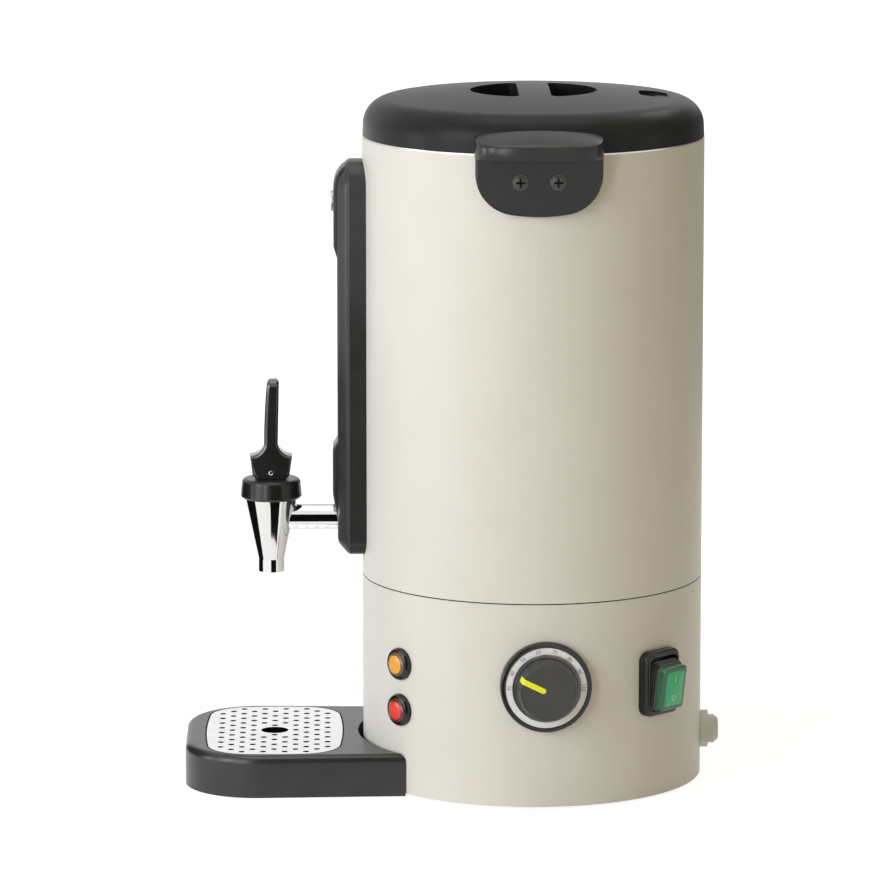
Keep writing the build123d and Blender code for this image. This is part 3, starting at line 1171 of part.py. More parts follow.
def tap_bonnet():
    shape = turned([(0, CONE_TOP_Z), (BONNET_R - BONNET_CHAMFER, CONE_TOP_Z),
                    (BONNET_R, CONE_TOP_Z + BONNET_CHAMFER), (BONNET_TOP_R, BONNET_TOP_Z), (0, BONNET_TOP_Z)])
    shape = fillet(shape.edges().group_by(Axis.Z)[-1], BONNET_EDGE_R)
    outer = CHAMBER_TOP_R - RUNNING_GAP
    shape += tube(outer, outer - BONNET_SPIGOT_WALL, CONE_TOP_Z - BONNET_SPIGOT, CONE_TOP_Z)
    shape -= disc(BONNET_CAVITY_R, CONE_TOP_Z - 1, SPRING_TOP_Z)
    shape -= disc(STEM_R + RUNNING_GAP, 0, BONNET_TOP_Z + 1)
    return Pos(0, -TAP_Y, 0) * shape


def valve_stem():
    stem = disc(STEM_R, STEM_FOOT_Z, PIN_Z) + disc(STEM_FLANGE_R, PLUG_TOP_Z, SPRING_BOTTOM_Z)
    stem += Pos(0, 0, PIN_Z) * Sphere(STEM_TOP) & disc(STEM_R, PIN_Z - 1, PIN_Z + 2 * STEM_TOP)
    stem -= Pos(0, 0, PIN_Z) * (Rot(0, 90, 0) * Cylinder(PIN_R, 4 * STEM_R))
    return Pos(0, -TAP_Y, 0) * stem


def valve_plug():
    low = SEAT_Z + MOVING_GAP
    plug = turned([(0, low), (PLUG_R, low), (PLUG_SHOULDER_R, low + PLUG_SHOULDER),
                   (PLUG_WAIST_R, PLUG_TOP_Z), (0, PLUG_TOP_Z)])
    return Pos(0, -TAP_Y, 0) * (plug - disc(STEM_R, STEM_FOOT_Z, PLUG_TOP_Z + 1))


def valve_spring():
    low, high = SPRING_BOTTOM_Z + SPRING_WIRE_R, SPRING_TOP_Z - SPRING_WIRE_R
    path = Helix((high - low) / SPRING_TURNS, high - low, SPRING_R)
    section = Plane(origin=path @ 0, z_dir=path % 0) * RegularPolygon(SPRING_WIRE_R, 6)
    return Pos(0, -TAP_Y, low) * sweep(section, path=path)


def lever_pin():
    return Pos(0, -TAP_Y, PIN_Z) * (Rot(0, 90, 0) * Cylinder(PIN_R, LEVER_WIDTH - 2 * PIN_INSET))


def lever_outline():
    """Side view of the lever in the Y-Z plane about the tap's axis: hub, hollow shoulders and slim blade."""
    low = PIN_Z - HUB_BOTTOM
    corner = HUB_HALF_BOTTOM - HUB_BOTTOM
    turn = HUB_BOTTOM * math.sin(math.radians(45))
    left_neck, right_neck = -NECK_HALF, NECK_HALF
    lean = LEVER_LEAN
    middle_z = (NECK_Z + LEVER_TOP_Z) / 2
    sag = SHOULDER_R * 0.35

    def point(y, z):
        return (0, y, z)

    return make_face([
        Line(point(-corner, low), point(corner, low)),
        ThreePointArc(point(corner, low), point(corner + turn, PIN_Z - turn), point(HUB_HALF_BOTTOM, PIN_Z)),
        Line(point(HUB_HALF_BOTTOM, PIN_Z), point(HUB_HALF_TOP, HUB_TOP_Z)),
        ThreePointArc(point(HUB_HALF_TOP, HUB_TOP_Z), point(right_neck + sag, HUB_TOP_Z + sag),
                      point(right_neck, NECK_Z)),
        ThreePointArc(point(right_neck, NECK_Z), point(right_neck + lean / 3, middle_z),
                      point(LEVER_HALF_TOP + lean, LEVER_TOP_Z)),
        Line(point(LEVER_HALF_TOP + lean, LEVER_TOP_Z), point(lean - LEVER_HALF_TOP, LEVER_TOP_Z)),
        ThreePointArc(point(lean - LEVER_HALF_TOP, LEVER_TOP_Z), point(left_neck + lean / 3, middle_z),
                      point(left_neck, NECK_Z)),
        ThreePointArc(point(left_neck, NECK_Z), point(left_neck - sag, HUB_TOP_Z + sag),
                      point(-HUB_HALF_TOP, HUB_TOP_Z)),
        Line(point(-HUB_HALF_TOP, HUB_TOP_Z), point(-HUB_HALF_BOTTOM, PIN_Z)),
        ThreePointArc(point(-HUB_HALF_BOTTOM, PIN_Z), point(-corner - turn, PIN_Z - turn), point(-corner, low)),
    ])


def tap_lever():
    shape = extrude(lever_outline(), LEVER_WIDTH / 2, both=True, dir=(1, 0, 0))
    end = shape.edges().filter_by(Axis.Y).group_by(Axis.Z)[-1]
    shape = fillet(end, LEVER_END_R)
    half_x = STEM_R + MOVING_GAP
    shape -= block((-half_x, half_x), (-POCKET_HALF, POCKET_HALF), (PIN_Z - HUB_BOTTOM - 1, PIN_Z + POCKET_TOP))
    shape -= Pos(0, 0, PIN_Z) * (Rot(0, 90, 0) * Cylinder(PIN_R + RUNNING_GAP, 2 * LEVER_WIDTH))
    return Pos(0, -TAP_Y, 0) * shape


# ---- drip tray ----
def tray_outline(inset):
    """Plan of the tray: square front with large round corners, sides drawn in towards the body."""
    front, rear = -TRAY_REACH + inset, -TRAY_REAR_Y
    front_half, rear_half = TRAY_FRONT_WIDTH / 2 - inset, TRAY_REAR_WIDTH / 2 - inset
    outline = make_face(Polyline((-front_half, front), (front_half, front), (rear_half, rear),
                                 (-rear_half, rear), close=True))
    return fillet(outline.vertices().group_by(Axis.Y)[0], TRAY_CORNER_R - inset)


def saddle(gap):
    """Round cut behind the tray, a little tighter than the body, so the tray's tips lie close to it."""
    tip_x = TRAY_REAR_WIDTH / 2
    tip_y = math.sqrt((BODY_R + TRAY_TIP_GAP) ** 2 - tip_x ** 2)
    rise = BODY_R + TRAY_BODY_GAP - tip_y
    radius = (tip_x ** 2 + rise ** 2) / (2 * rise)
    centre_y = -(BODY_R + TRAY_BODY_GAP - radius)
    return Pos(0, centre_y, -1) * extrude(Circle(radius + gap), 2 * TRAY_HEIGHT)


def grille_outline(inset):
    """Rounded plate outline with slightly bowed sides, centred under the spout."""
    long_half, wide_half = GRILLE_LENGTH / 2 - inset, GRILLE_WIDTH / 2 - inset
    long_in, wide_in = long_half - GRILLE_BULGE, wide_half - GRILLE_BULGE
    outline = make_face([
        ThreePointArc((-wide_in, -long_in), (0, -long_half), (wide_in, -long_in)),
        ThreePointArc((wide_in, -long_in), (wide_half, 0), (wide_in, long_in)),
        ThreePointArc((wide_in, long_in), (0, long_half), (-wide_in, long_in)),
        ThreePointArc((-wide_in, long_in), (-wide_half, 0), (-wide_in, -long_in)),
    ])
    return fillet(outline.vertices(), GRILLE_CORNER_R - inset)


def under_spout(outline, low, high):
    """Extrudes an outline that is centred under the spout."""
    return Pos(0, -GRILLE_CENTRE_Y, low) * extrude(outline, high - low)


def drip_tray():
    """Moulded tray: deck on outer walls, with a basin under the grille, hollow underneath."""
    deck = extrude(tray_outline(0), TRAY_HEIGHT)
    rim = deck.faces().sort_by(Axis.Z)[-1].edges().sort_by(Axis.Y)
    deck = fillet(rim[:-1], TRAY_EDGE_R) - saddle(0)
    hollow = extrude(tray_outline(TRAY_WALL), TRAY_HEIGHT - TRAY_WALL) - saddle(TRAY_WALL)
    tub_inset = GRILLE_LEDGE
    hollow -= under_spout(grille_outline(tub_inset - TRAY_WALL), BASIN_FLOOR_Z - TRAY_WALL, TRAY_HEIGHT)
    deck -= hollow
    deck -= under_spout(grille_outline(tub_inset), BASIN_FLOOR_Z, TRAY_HEIGHT + 1)
    return deck - under_spout(grille_outline(-FIT_GAP), TRAY_HEIGHT - GRILLE_SHEET, TRAY_HEIGHT + 1)


def grille_holes():
    """Places of the small holes: rows half a pitch apart, every other row moved by half a pitch."""
    half_pitch = GRILLE_PITCH / 2
    field = grille_outline(GRILLE_MARGIN)
    rows = int(GRILLE_WIDTH / half_pitch / 2)
    columns = int(GRILLE_LENGTH / GRILLE_PITCH / 2) + 1
    places = []
    for row in range(-rows, rows + 1):
        for column in range(-columns, columns + 1):
            x, y = row * half_pitch, (column + (row % 2) / 2) * GRILLE_PITCH
            clear_of_middle = math.hypot(x, y) > GRILLE_FINGER_HOLE_R + GRILLE_HOLE_R + 2
            if clear_of_middle and field.is_inside((x, y, 0)):
                places.append((x, y))
    return places


def drip_grille():
    sheet = grille_outline(0)
    holes = [Pos(x, y) * RegularPolygon(GRILLE_HOLE_R, 8) for x, y in grille_holes()]
    sheet -= Circle(GRILLE_FINGER_HOLE_R)
    sheet -= holes
    plate = under_spout(sheet, TRAY_HEIGHT - GRILLE_SHEET, TRAY_HEIGHT)
    lip = grille_outline(GRILLE_LEDGE + FIT_GAP) - grille_outline(GRILLE_LEDGE + FIT_GAP + GRILLE_SHEET)
    return plate + under_spout(lip, TRAY_HEIGHT - GRILLE_LIP, TRAY_HEIGHT - GRILLE_SHEET / 2)


NODES = {
    "outer_jacket": outer_jacket(),
    "inner_tank": inner_tank(),
    "support_ring": support_ring(),
    "base_housing": base_housing(),
    "base_plate": base_plate(),
    "rubber_feet": rubber_feet(),
    "tie_rods": tie_rods(),
    "base_screws": base_screws(),
    "lid_cover": lid_cover(),
    "lid_liner": lid_liner(),
    "lid_seal": lid_seal(),
    "lid_screws": lid_screws(),
    "right_handle": handle(),
    "left_handle": Rot(0, 0, 180) * handle(),
    "handle_screws": handle_screws(),
    "rivet_nuts": rivet_nuts(),
    "heat_spreader": heat_spreader(),
    "heating_element": heating_element(),
    "element_clamp": element_clamp(),
    "clamp_nuts": clamp_nuts(),
    "boil_dry_cutout": boil_dry_cutout(),
    "thermostat_body": thermostat_body(),
    "thermostat_nut": thermostat_nut(),
    "thermostat_shaft": thermostat_shaft(),
    "thermostat_bulb": thermostat_bulb(),
    "thermostat_knob": thermostat_knob(),
    "knob_pointer": knob_pointer(),
    "dial_bezel": dial_bezel(),
    "dial_scale_ring": dial_scale_ring(),
    "amber_lamp_bezel": lamp_bezel(AMBER_LAMP_Z),
    "amber_lamp_lens": lamp_lens(AMBER_LAMP_Z),
    "red_lamp_bezel": lamp_bezel(RED_LAMP_Z),
    "red_lamp_lens": lamp_lens(RED_LAMP_Z),
    "lamp_clips": lamp_clips(),
    "switch_frame": switch_frame(),
    "switch_body": switch_body(),
    "switch_rocker": switch_rocker(),
    "switch_boot": switch_boot(),
    "cable_gland": cable_gland(),
    "gland_nut": gland_nut(),
    "terminal_block": terminal_block(),
    "overheat_cutout": overheat_cutout(),
    "reset_button": reset_button(),
    "gauge_housing": gauge_housing(),
    "gauge_top_screw": gauge_top_screw(),
    "sight_glass": sight_glass(),
    "sight_glass_seals": sight_glass_seals(),
    "gauge_top_cap": gauge_top_cap(),
    "gauge_tee": gauge_tee(),
    "tap_body": tap_body(),
    "shank_gaskets": shank_gaskets(),
    "shank_nut": shank_nut(),
    "tap_bonnet": tap_bonnet(),
    "valve_stem": valve_stem(),
    "valve_plug": valve_plug(),
    "valve_spring": valve_spring(),
    "lever_pin": lever_pin(),
    "tap_lever": tap_lever(),
    "drip_tray": drip_tray(),
    "drip_grille": drip_grille(),
}

os.makedirs("parts", exist_ok=True)
for name, shape in NODES.items():
    export_step(Pos(0, AXIS_SHIFT_Y, 0) * shape, f"parts/{name}.step")
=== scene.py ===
"""Dresses the hot water urn: its finishes and fine detail, the studio round it and the camera."""
import logging
import math
from dataclasses import dataclass
from enum import Enum
from typing import Callable, Sequence

import bmesh
import bpy
import numpy as np
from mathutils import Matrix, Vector


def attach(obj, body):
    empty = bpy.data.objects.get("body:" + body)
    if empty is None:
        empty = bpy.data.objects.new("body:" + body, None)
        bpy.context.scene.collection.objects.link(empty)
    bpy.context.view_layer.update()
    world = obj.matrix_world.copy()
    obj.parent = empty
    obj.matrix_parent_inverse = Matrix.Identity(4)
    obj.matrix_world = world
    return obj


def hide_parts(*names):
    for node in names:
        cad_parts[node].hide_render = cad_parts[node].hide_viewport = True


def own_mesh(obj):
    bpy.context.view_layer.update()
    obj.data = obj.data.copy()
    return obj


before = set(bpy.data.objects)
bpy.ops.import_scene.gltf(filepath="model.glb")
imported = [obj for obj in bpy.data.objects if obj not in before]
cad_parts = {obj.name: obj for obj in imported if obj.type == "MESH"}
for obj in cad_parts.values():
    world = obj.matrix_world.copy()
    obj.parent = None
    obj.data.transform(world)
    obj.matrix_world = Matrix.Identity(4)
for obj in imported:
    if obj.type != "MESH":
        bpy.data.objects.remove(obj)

LOG = logging.getLogger("urn")
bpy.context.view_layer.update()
MM = 0.001
AXIS = np.array([0.0, 53.25, 0.0])    # foot of the tank's axis in the shared frame, millimetres
MEETING = 0.002 * MM                  # points closer than this are one point
SLIVER = 0.001 * MM                   # edges shorter than this go
SMOOTH_BELOW = 32.0                   # edges that bend more, in degrees, stay sharp
LEVEL_WITHIN = 1.0                    # faces that bend less, in degrees, are joined to one
BENT = 35.0                           # edges that bend more, in degrees, can be eased
EASE_STEPS = 5                        # quads across an eased edge
RING_STEPS = 96                       # points round a turned piece
LETTER_STEPS = 3                      # points in each curve of a letter

Array = np.ndarray
Colour = tuple[float, float, float]
Spot = tuple[float, float, float]
Profile = tuple[tuple[float, float], ...]


# ---- finishes ----
@dataclass(frozen=True)
class Wiring:
    """A node tree in the making.

    Attributes:
        tree: The tree.
    """

    tree: bpy.types.NodeTree

    def fill(self, node: bpy.types.Node, inputs: dict[str | int, object]) -> None:
        """Fills a node's inputs: an output of another node is linked, anything else is a value.

        Args:
            node: The node.
            inputs: Outputs or values, by the name or the number of the input.
        """
        for key, value in inputs.items():
            if isinstance(value, bpy.types.NodeSocket):
                self.tree.links.new(value, node.inputs[key])
            else:
                node.inputs[key].default_value = value

    def add(self, kind: str, inputs: dict[str | int, object] | None = None,
            **options: object) -> bpy.types.Node:
        """Adds a node.

        Args:
            kind: Type of the node, without the ShaderNode in front.
            inputs: Outputs or values, by the name or the number of the input.
            options: Settings of the node itself, made before the inputs are filled.

        Returns:
            The node.
        """
        node = self.tree.nodes.new(f"ShaderNode{kind}")
        for name, value in options.items():
            setattr(node, name, value)
        self.fill(node, inputs or {})
        return node


class Grain(Enum):
    """How the fine relief of a surface runs, with its stretch along X, Y and Z."""

    SPECKLED = (1.0, 1.0, 1.0)
    BRUSHED_ROUND = (0.03, 0.03, 1.0)
    BRUSHED_ALONG_X = (0.02, 1.0, 1.0)
    SMOOTH = None


@dataclass(frozen=True)
class Finish:
    """One surface finish, made as a node material.

    Attributes:
        name: Name of the material.
        colour: Linear base colour.
        roughness: Middle value of the roughness.
        metallic: 1 for bare metal, 0 for everything else.
        specular: Specular level of the shader.
        coat: Weight of the clear coat.
        transmission: Share of light that goes through.
        ior: Index of refraction.
        grain: How the relief runs.
        grain_size: Width of one grain, in metres.
        grain_depth: Height of the relief, in metres.
        mottling: Relative change of colour across the surface.
        gloss_spread: Change of roughness across the surface, each way.
        emission: Strength of the surface's own glow.
        patch: Width of one patch of colour, in grains.
        patch_detail: Octaves of the patches' noise.
        patch_edges: Values of that noise where the colour starts and stops changing.
        relief_detail: Octaves of the relief's noise.
        relief_roughness: Weight of the finer octaves.
    """

    name: str
    colour: Colour
    roughness: float = 0.5
    metallic: float = 0.0
    specular: float = 0.5
    coat: float = 0.0
    transmission: float = 0.0
    ior: float = 1.5
    grain: Grain = Grain.SPECKLED
    grain_size: float = 0.5 * MM
    grain_depth: float = 0.01 * MM
    mottling: float = 0.04
    gloss_spread: float = 0.03
    emission: float = 0.0
    patch: float = 60
    patch_detail: float = 3.0
    patch_edges: tuple[float, float] = (0.35, 0.65)
    relief_detail: float = 4.0
    relief_roughness: float = 0.6

    def material(self) -> bpy.types.Material:
        """Returns the finish's material, made on first use."""
        made = bpy.data.materials.get(self.name)
        return made if made is not None else self._build()

    def _build(self) -> bpy.types.Material:
        """Builds the node tree: noise on object coordinates drives colour, roughness and bump.

        Returns:
            The new material.
        """
        material = bpy.data.materials.new(self.name)
        material.use_nodes = True
        wiring = Wiring(material.node_tree)
        coords = wiring.add("TexCoord").outputs["Object"]
        relief = self._relief(wiring, coords)
        gloss = wiring.add("MapRange", {
            "To Min": max(0.0, self.roughness - self.gloss_spread),
            "To Max": min(1.0, self.roughness + self.gloss_spread), "Value": relief})
        shader = wiring.tree.nodes["Principled BSDF"]
        wiring.fill(shader, {
            "Metallic": self.metallic, "Specular IOR Level": self.specular,
            "Coat Weight": self.coat, "Transmission Weight": self.transmission, "IOR": self.ior,
            "Base Color": self._mottled(wiring, coords), "Roughness": gloss.outputs["Result"]})
        if self.emission:
            wiring.fill(shader, {"Emission Color": (*self.colour, 1.0),
                                 "Emission Strength": self.emission})
        if self.grain is not Grain.SMOOTH:
            bump = wiring.add("Bump", {"Strength": 1.0, "Distance": self.grain_depth,
                                       "Height": relief})
            wiring.fill(shader, {"Normal": bump.outputs["Normal"]})
        return material

    def _mottled(self, wiring: Wiring, coords: bpy.types.NodeSocket) -> bpy.types.NodeSocket:
        """Adds the base colour, a little lighter and darker in broad patches.

        Args:
            wiring: The material's tree.
            coords: Object coordinates.

        Returns:
            The output with the colour.
        """
        broad = wiring.add("TexNoise", {"Scale": 1.0 / (self.patch * self.grain_size),
                                        "Detail": self.patch_detail, "Vector": coords})
        tint = wiring.add("ValToRGB", {"Fac": broad.outputs["Fac"]})
        factors = (1.0 - self.mottling, 1.0 + self.mottling)
        for stop, edge, factor in zip(tint.color_ramp.elements, self.patch_edges, factors):
            stop.position = edge
            stop.color = (*[min(1.0, c * factor) for c in self.colour], 1.0)
        return tint.outputs["Color"]

    def _relief(self, wiring: Wiring, coords: bpy.types.NodeSocket) -> bpy.types.NodeSocket:
        """Adds the fine noise, stretched along the brushing where there is any.

        Args:
            wiring: The material's tree.
            coords: Object coordinates.

        Returns:
            The output with the relief's height.
        """
        if self.grain in (Grain.BRUSHED_ROUND, Grain.BRUSHED_ALONG_X):
            mapping = wiring.add("Mapping", {"Scale": self.grain.value, "Vector": coords})
            coords = mapping.outputs["Vector"]
        fine = wiring.add("TexNoise", {
            "Scale": 1.0 / self.grain_size, "Detail": self.relief_detail,
            "Roughness": self.relief_roughness, "Vector": coords})
        return fine.outputs["Fac"]


@dataclass(frozen=True)
class Palette:
    """Every finish of the urn."""

    paint: Finish = Finish(
        "warm_grey_powder_coat", (0.700, 0.694, 0.660), 0.42, specular=0.30, grain_size=0.55 * MM,
        grain_depth=0.010 * MM, mottling=0.012)
    lid: Finish = Finish(
        "lid_moulding", (0.014, 0.014, 0.014), 0.34, specular=0.13, grain_size=0.35 * MM,
        grain_depth=0.008 * MM, mottling=0.15)
    satin: Finish = Finish(
        "satin_black_moulding", (0.011, 0.011, 0.0115), 0.25, specular=0.38, grain_size=0.35 * MM,
        grain_depth=0.008 * MM, mottling=0.15)
    black: Finish = Finish(
        "black_moulding", (0.010, 0.010, 0.0105), 0.38, specular=0.26, grain_size=0.35 * MM,
        grain_depth=0.010 * MM, mottling=0.15)
    cover: Finish = Finish(
        "cover_moulding", (0.027, 0.027, 0.029), 0.30, specular=0.30, grain_size=0.35 * MM,
        grain_depth=0.008 * MM, mottling=0.12)
    lever: Finish = Finish(
        "polished_black_moulding", (0.009, 0.009, 0.009), 0.22, specular=0.8, coat=0.6,
        grain_size=0.5 * MM, grain_depth=0.004 * MM, mottling=0.12)
    tray: Finish = Finish(
        "tray_moulding", (0.025, 0.025, 0.027), 0.30, specular=0.5, grain_size=0.35 * MM,
        grain_depth=0.006 * MM, mottling=0.10)
    # Painted shade: a near-black finish laid where shade falls, on the grille's hole walls and
    # round its holes, in the gap round the grille and in the screws' cross recesses.
    painted_shade: Finish = Finish(
        "painted_shade_dark", (0.006, 0.006, 0.006), 0.7, specular=0.05, grain_size=0.3 * MM,
        grain_depth=0.01 * MM, mottling=0.1)
    gloss: Finish = Finish(
        "glossy_black_moulding", (0.007, 0.007, 0.008), 0.17, specular=0.5, grain_size=0.8 * MM,
        grain_depth=0.004 * MM, mottling=0.1)
    knob: Finish = Finish(
        "knob_moulding", (0.034, 0.034, 0.034), 0.34, specular=0.5, grain_size=0.3 * MM,
        grain_depth=0.008 * MM, mottling=0.12)
    gland: Finish = Finish(
        "light_grey_moulding", (0.66, 0.67, 0.64), 0.45, grain_size=0.5 * MM,
        grain_depth=0.008 * MM, mottling=0.03)
    boot: Finish = Finish(
        "bellows_rubber", (0.020, 0.020, 0.020), 0.30, specular=0.6, grain_size=0.4 * MM,
        grain_depth=0.01 * MM, mottling=0.2)
    rubber: Finish = Finish(
        "black_rubber", (0.010, 0.010, 0.010), 0.55, specular=0.3, grain_size=0.4 * MM,
        grain_depth=0.02 * MM, mottling=0.2)
    silicone: Finish = Finish(
        "milky_silicone", (0.62, 0.61, 0.57), 0.4, transmission=0.15, grain_size=1.0 * MM,
        grain_depth=0.01 * MM)
    chrome: Finish = Finish(
        "chrome_plate", (0.80, 0.80, 0.81), 0.05, metallic=1.0, grain=Grain.SMOOTH,
        grain_size=2.0 * MM, mottling=0.01, gloss_spread=0.015)
    screw: Finish = Finish(
        "blackened_screw", (0.040, 0.040, 0.041), 0.34, specular=0.45, grain_size=0.3 * MM,
        grain_depth=0.004 * MM)
    screw_rim: Finish = Finish(
        "screw_seat", (0.075, 0.075, 0.077), 0.26, specular=0.7, grain_size=0.3 * MM,
        grain_depth=0.004 * MM)
    zinc: Finish = Finish(
        "zinc_plate", (0.42, 0.43, 0.45), 0.38, metallic=1.0, grain_size=0.9 * MM,
        grain_depth=0.01 * MM, mottling=0.1)
    tank: Finish = Finish(
        "brushed_tank_steel", (0.60, 0.59, 0.57), 0.3, metallic=1.0, grain=Grain.BRUSHED_ROUND,
        grain_size=0.25 * MM, grain_depth=0.006 * MM)
    grille: Finish = Finish(
        "bright_grille_steel", (0.92, 0.92, 0.92), 0.30, metallic=1.0, grain=Grain.BRUSHED_ALONG_X,
        grain_size=0.2 * MM, grain_depth=0.004 * MM)
    brass: Finish = Finish(
        "turned_brass", (0.70, 0.52, 0.24), 0.3, metallic=1.0, grain_size=0.5 * MM,
        grain_depth=0.006 * MM)
    copper: Finish = Finish(
        "drawn_copper", (0.75, 0.42, 0.28), 0.32, metallic=1.0, grain_size=0.5 * MM,
        grain_depth=0.006 * MM)
    heater: Finish = Finish(
        "heat_stained_sheath", (0.22, 0.20, 0.18), 0.5, metallic=1.0, grain_size=0.8 * MM,
        grain_depth=0.02 * MM, mottling=0.3)
    aluminium: Finish = Finish(
        "cast_aluminium", (0.66, 0.66, 0.67), 0.45, metallic=1.0, grain_size=0.7 * MM,
        grain_depth=0.02 * MM, mottling=0.08)
    white: Finish = Finish(
        "white_moulding", (0.78, 0.78, 0.76), 0.35, grain_size=0.6 * MM, grain_depth=0.004 * MM,
        mottling=0.02)
    scale: Finish = Finish(
        "silvered_scale", (0.88, 0.90, 0.94), 0.42, grain_size=0.3 * MM, grain_depth=0.006 * MM,
        mottling=0.05)
    yellow: Finish = Finish(
        "yellow_pointer", (0.90, 0.90, 0.01), 0.35, grain_size=0.6 * MM, grain_depth=0.004 * MM,
        mottling=0.02)
    amber: Finish = Finish(
        "amber_lens", (0.24, 0.104, 0.013), 0.2, grain_size=0.9 * MM, grain_depth=0.01 * MM,
        mottling=0.15)
    # Darker outer facets of the amber lens: painted shade round its bright middle.
    amber_rim: Finish = Finish(
        "amber_lens_painted_shade", (0.16, 0.10, 0.04), 0.2, grain_size=0.9 * MM, grain_depth=0.01 * MM,
        mottling=0.2)
    red: Finish = Finish(
        "red_lens", (0.125, 0.007, 0.013), 0.2, grain_size=0.9 * MM, grain_depth=0.01 * MM,
        mottling=0.15)
    # Darker outer facets of the red lens: painted shade round its bright middle.
    red_rim: Finish = Finish(
        "red_lens_painted_shade", (0.13, 0.03, 0.03), 0.2, grain_size=0.9 * MM, grain_depth=0.01 * MM,
        mottling=0.2)
    green: Finish = Finish(
        "green_cap", (0.018, 0.13, 0.065), 0.22, coat=0.2, transmission=0.15, grain_size=0.9 * MM,
        grain_depth=0.006 * MM, mottling=0.12)
    # Painted glow: the rocker's green face glows a little so that it looks lit.
    window: Finish = Finish(
        "green_face_painted_glow", (0.02, 0.40, 0.16), 0.28, grain_size=0.7 * MM, grain_depth=0.012 * MM,
        mottling=0.08, emission=0.10)
    print_white: Finish = Finish(
        "white_print", (0.80, 0.84, 0.80), 0.5, grain=Grain.SMOOTH, mottling=0.02)
    print_grey: Finish = Finish(
        "grey_print", (0.16, 0.16, 0.16), 0.5, grain=Grain.SMOOTH, mottling=0.05)
    glass: Finish = Finish(
        "clear_glass", (0.93, 0.96, 0.96), 0.02, transmission=1.0, ior=1.47, grain=Grain.SMOOTH,
        grain_size=3.0 * MM, mottling=0.01, gloss_spread=0.01)


PALETTE = Palette()

NODE_FINISHES: dict[str, Finish] = {
    **dict.fromkeys(("outer_jacket", "base_housing"), PALETTE.paint),
    **dict.fromkeys(("inner_tank", "lid_liner"), PALETTE.tank),
    "lid_cover": PALETTE.lid,
    **dict.fromkeys(("right_handle", "left_handle", "switch_frame", "tap_bonnet"), PALETTE.satin),
    "tap_lever": PALETTE.lever,
    **dict.fromkeys(("support_ring", "base_plate"), PALETTE.black),
    **dict.fromkeys(("cable_gland", "gland_nut"), PALETTE.gland),
    "gauge_housing": PALETTE.cover,
    "drip_tray": PALETTE.tray,
    **dict.fromkeys(("dial_bezel", "amber_lamp_bezel", "red_lamp_bezel", "switch_body",
                     "boil_dry_cutout", "overheat_cutout"), PALETTE.gloss),
    **dict.fromkeys(("rubber_feet", "switch_boot"), PALETTE.rubber),
    **dict.fromkeys(("lid_seal", "sight_glass_seals", "shank_gaskets", "valve_plug"),
                    PALETTE.silicone),
    "handle_screws": PALETTE.screw,
    **dict.fromkeys(("tie_rods", "base_screws", "rivet_nuts", "element_clamp", "clamp_nuts",
                     "lamp_clips", "thermostat_body", "thermostat_shaft", "valve_spring",
                     "lid_screws", "gauge_top_screw"), PALETTE.zinc),
    **dict.fromkeys(("gauge_tee", "shank_nut", "thermostat_nut", "valve_stem"), PALETTE.brass),
    **dict.fromkeys(("tap_body", "lever_pin"), PALETTE.chrome),
    **dict.fromkeys(("terminal_block", "gauge_top_cap"), PALETTE.white),
    "dial_scale_ring": PALETTE.scale,
    "heat_spreader": PALETTE.aluminium,
    "heating_element": PALETTE.heater,
    "thermostat_bulb": PALETTE.copper,
    "thermostat_knob": PALETTE.knob,
    "knob_pointer": PALETTE.yellow,
    "amber_lamp_lens": PALETTE.amber,
    "red_lamp_lens": PALETTE.red,
    "reset_button": PALETTE.red,
    "switch_rocker": PALETTE.green,
    "sight_glass": PALETTE.glass,
    "drip_grille": PALETTE.grille,
}


def dress_nodes(finishes: dict[str, Finish]) -> None:
    """Puts a finish on every node of the frame.

    Args:
        finishes: Finish of each node, by the node's name.
    """
    for name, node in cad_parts.items():
        for slot in node.material_slots:
            slot.material = finishes[name].material()
        LOG.info("node %s wears %s", name, finishes[name].name)


# ---- places and surfaces ----
@dataclass(frozen=True)
class Place:
    """A spot on the urn with its own three directions, in millimetres from the tank axis's foot.

    Attributes:
        origin: The spot itself.
        across: Direction to the right, seen from outside.
        up: Direction up.
        out: Direction away from the wall.
    """

    origin: Array
    across: Array
    up: Array
    out: Array

    def at(self, across: Array, up: Array, out: Array) -> Array:
        """Carries local coordinates to the urn: the origin plus each times its own direction.

        Args:
            across: Distances to the right, an array or a number.
            up: Distances up.
            out: Distances outward.

        Returns:
            The points, with the three coordinates on the last axis.
        """
        across, up, out = np.broadcast_arrays(across, up, out)
        return (self.origin + across[..., None] * self.across + up[..., None] * self.up
                + out[..., None] * self.out)

    def ring(self, outline: Array, out: Array | float) -> Array:
        """Carries an outline to the urn.

        Args:
            outline: Pairs of distance to the right and distance up.
            out: Distance outward, one for each point or one for all.

        Returns:
            The points.
        """
        return self.at(outline[:, 0], outline[:, 1], out)

    def beside(self, across: float) -> "Place":
        """Moves the place sideways.

        Args:
            across: Distance to the right.

        Returns:
            The moved place.
        """
        return Place(self.origin + self.across * across, self.across, self.up, self.out)

    def tilted(self, pivot_out: float, degrees: float) -> "Place":
        """Turns the place about a level line: up and out swing together, and the line stays.

        Args:
            pivot_out: Distance of the line from the origin, outward.
            degrees: Turn that moves the upper half outward.

        Returns:
            The turned place.
        """
        turn = math.radians(degrees)
        up = self.up * math.cos(turn) + self.out * math.sin(turn)
        out = self.out * math.cos(turn) - self.up * math.sin(turn)
        return Place(self.origin + (self.out - out) * pivot_out, self.across, up, out)


def on_wall(angle: float, height: float, radius: float = 0.0) -> Place:
    """A place that faces away from the tank's axis.

    Args:
        angle: Angle round the axis in degrees, from +X towards +Y.
        height: Height of the origin.
        radius: Distance of the origin from the axis.

    Returns:
        The place.
    """
    turn = math.radians(angle)
    out = np.array([math.cos(turn), math.sin(turn), 0.0])
    across = np.array([-math.sin(turn), math.cos(turn), 0.0])
    up = np.array([0.0, 0.0, 1.0])
    return Place(out * radius + np.array([0.0, 0.0, height]), across, up, out)


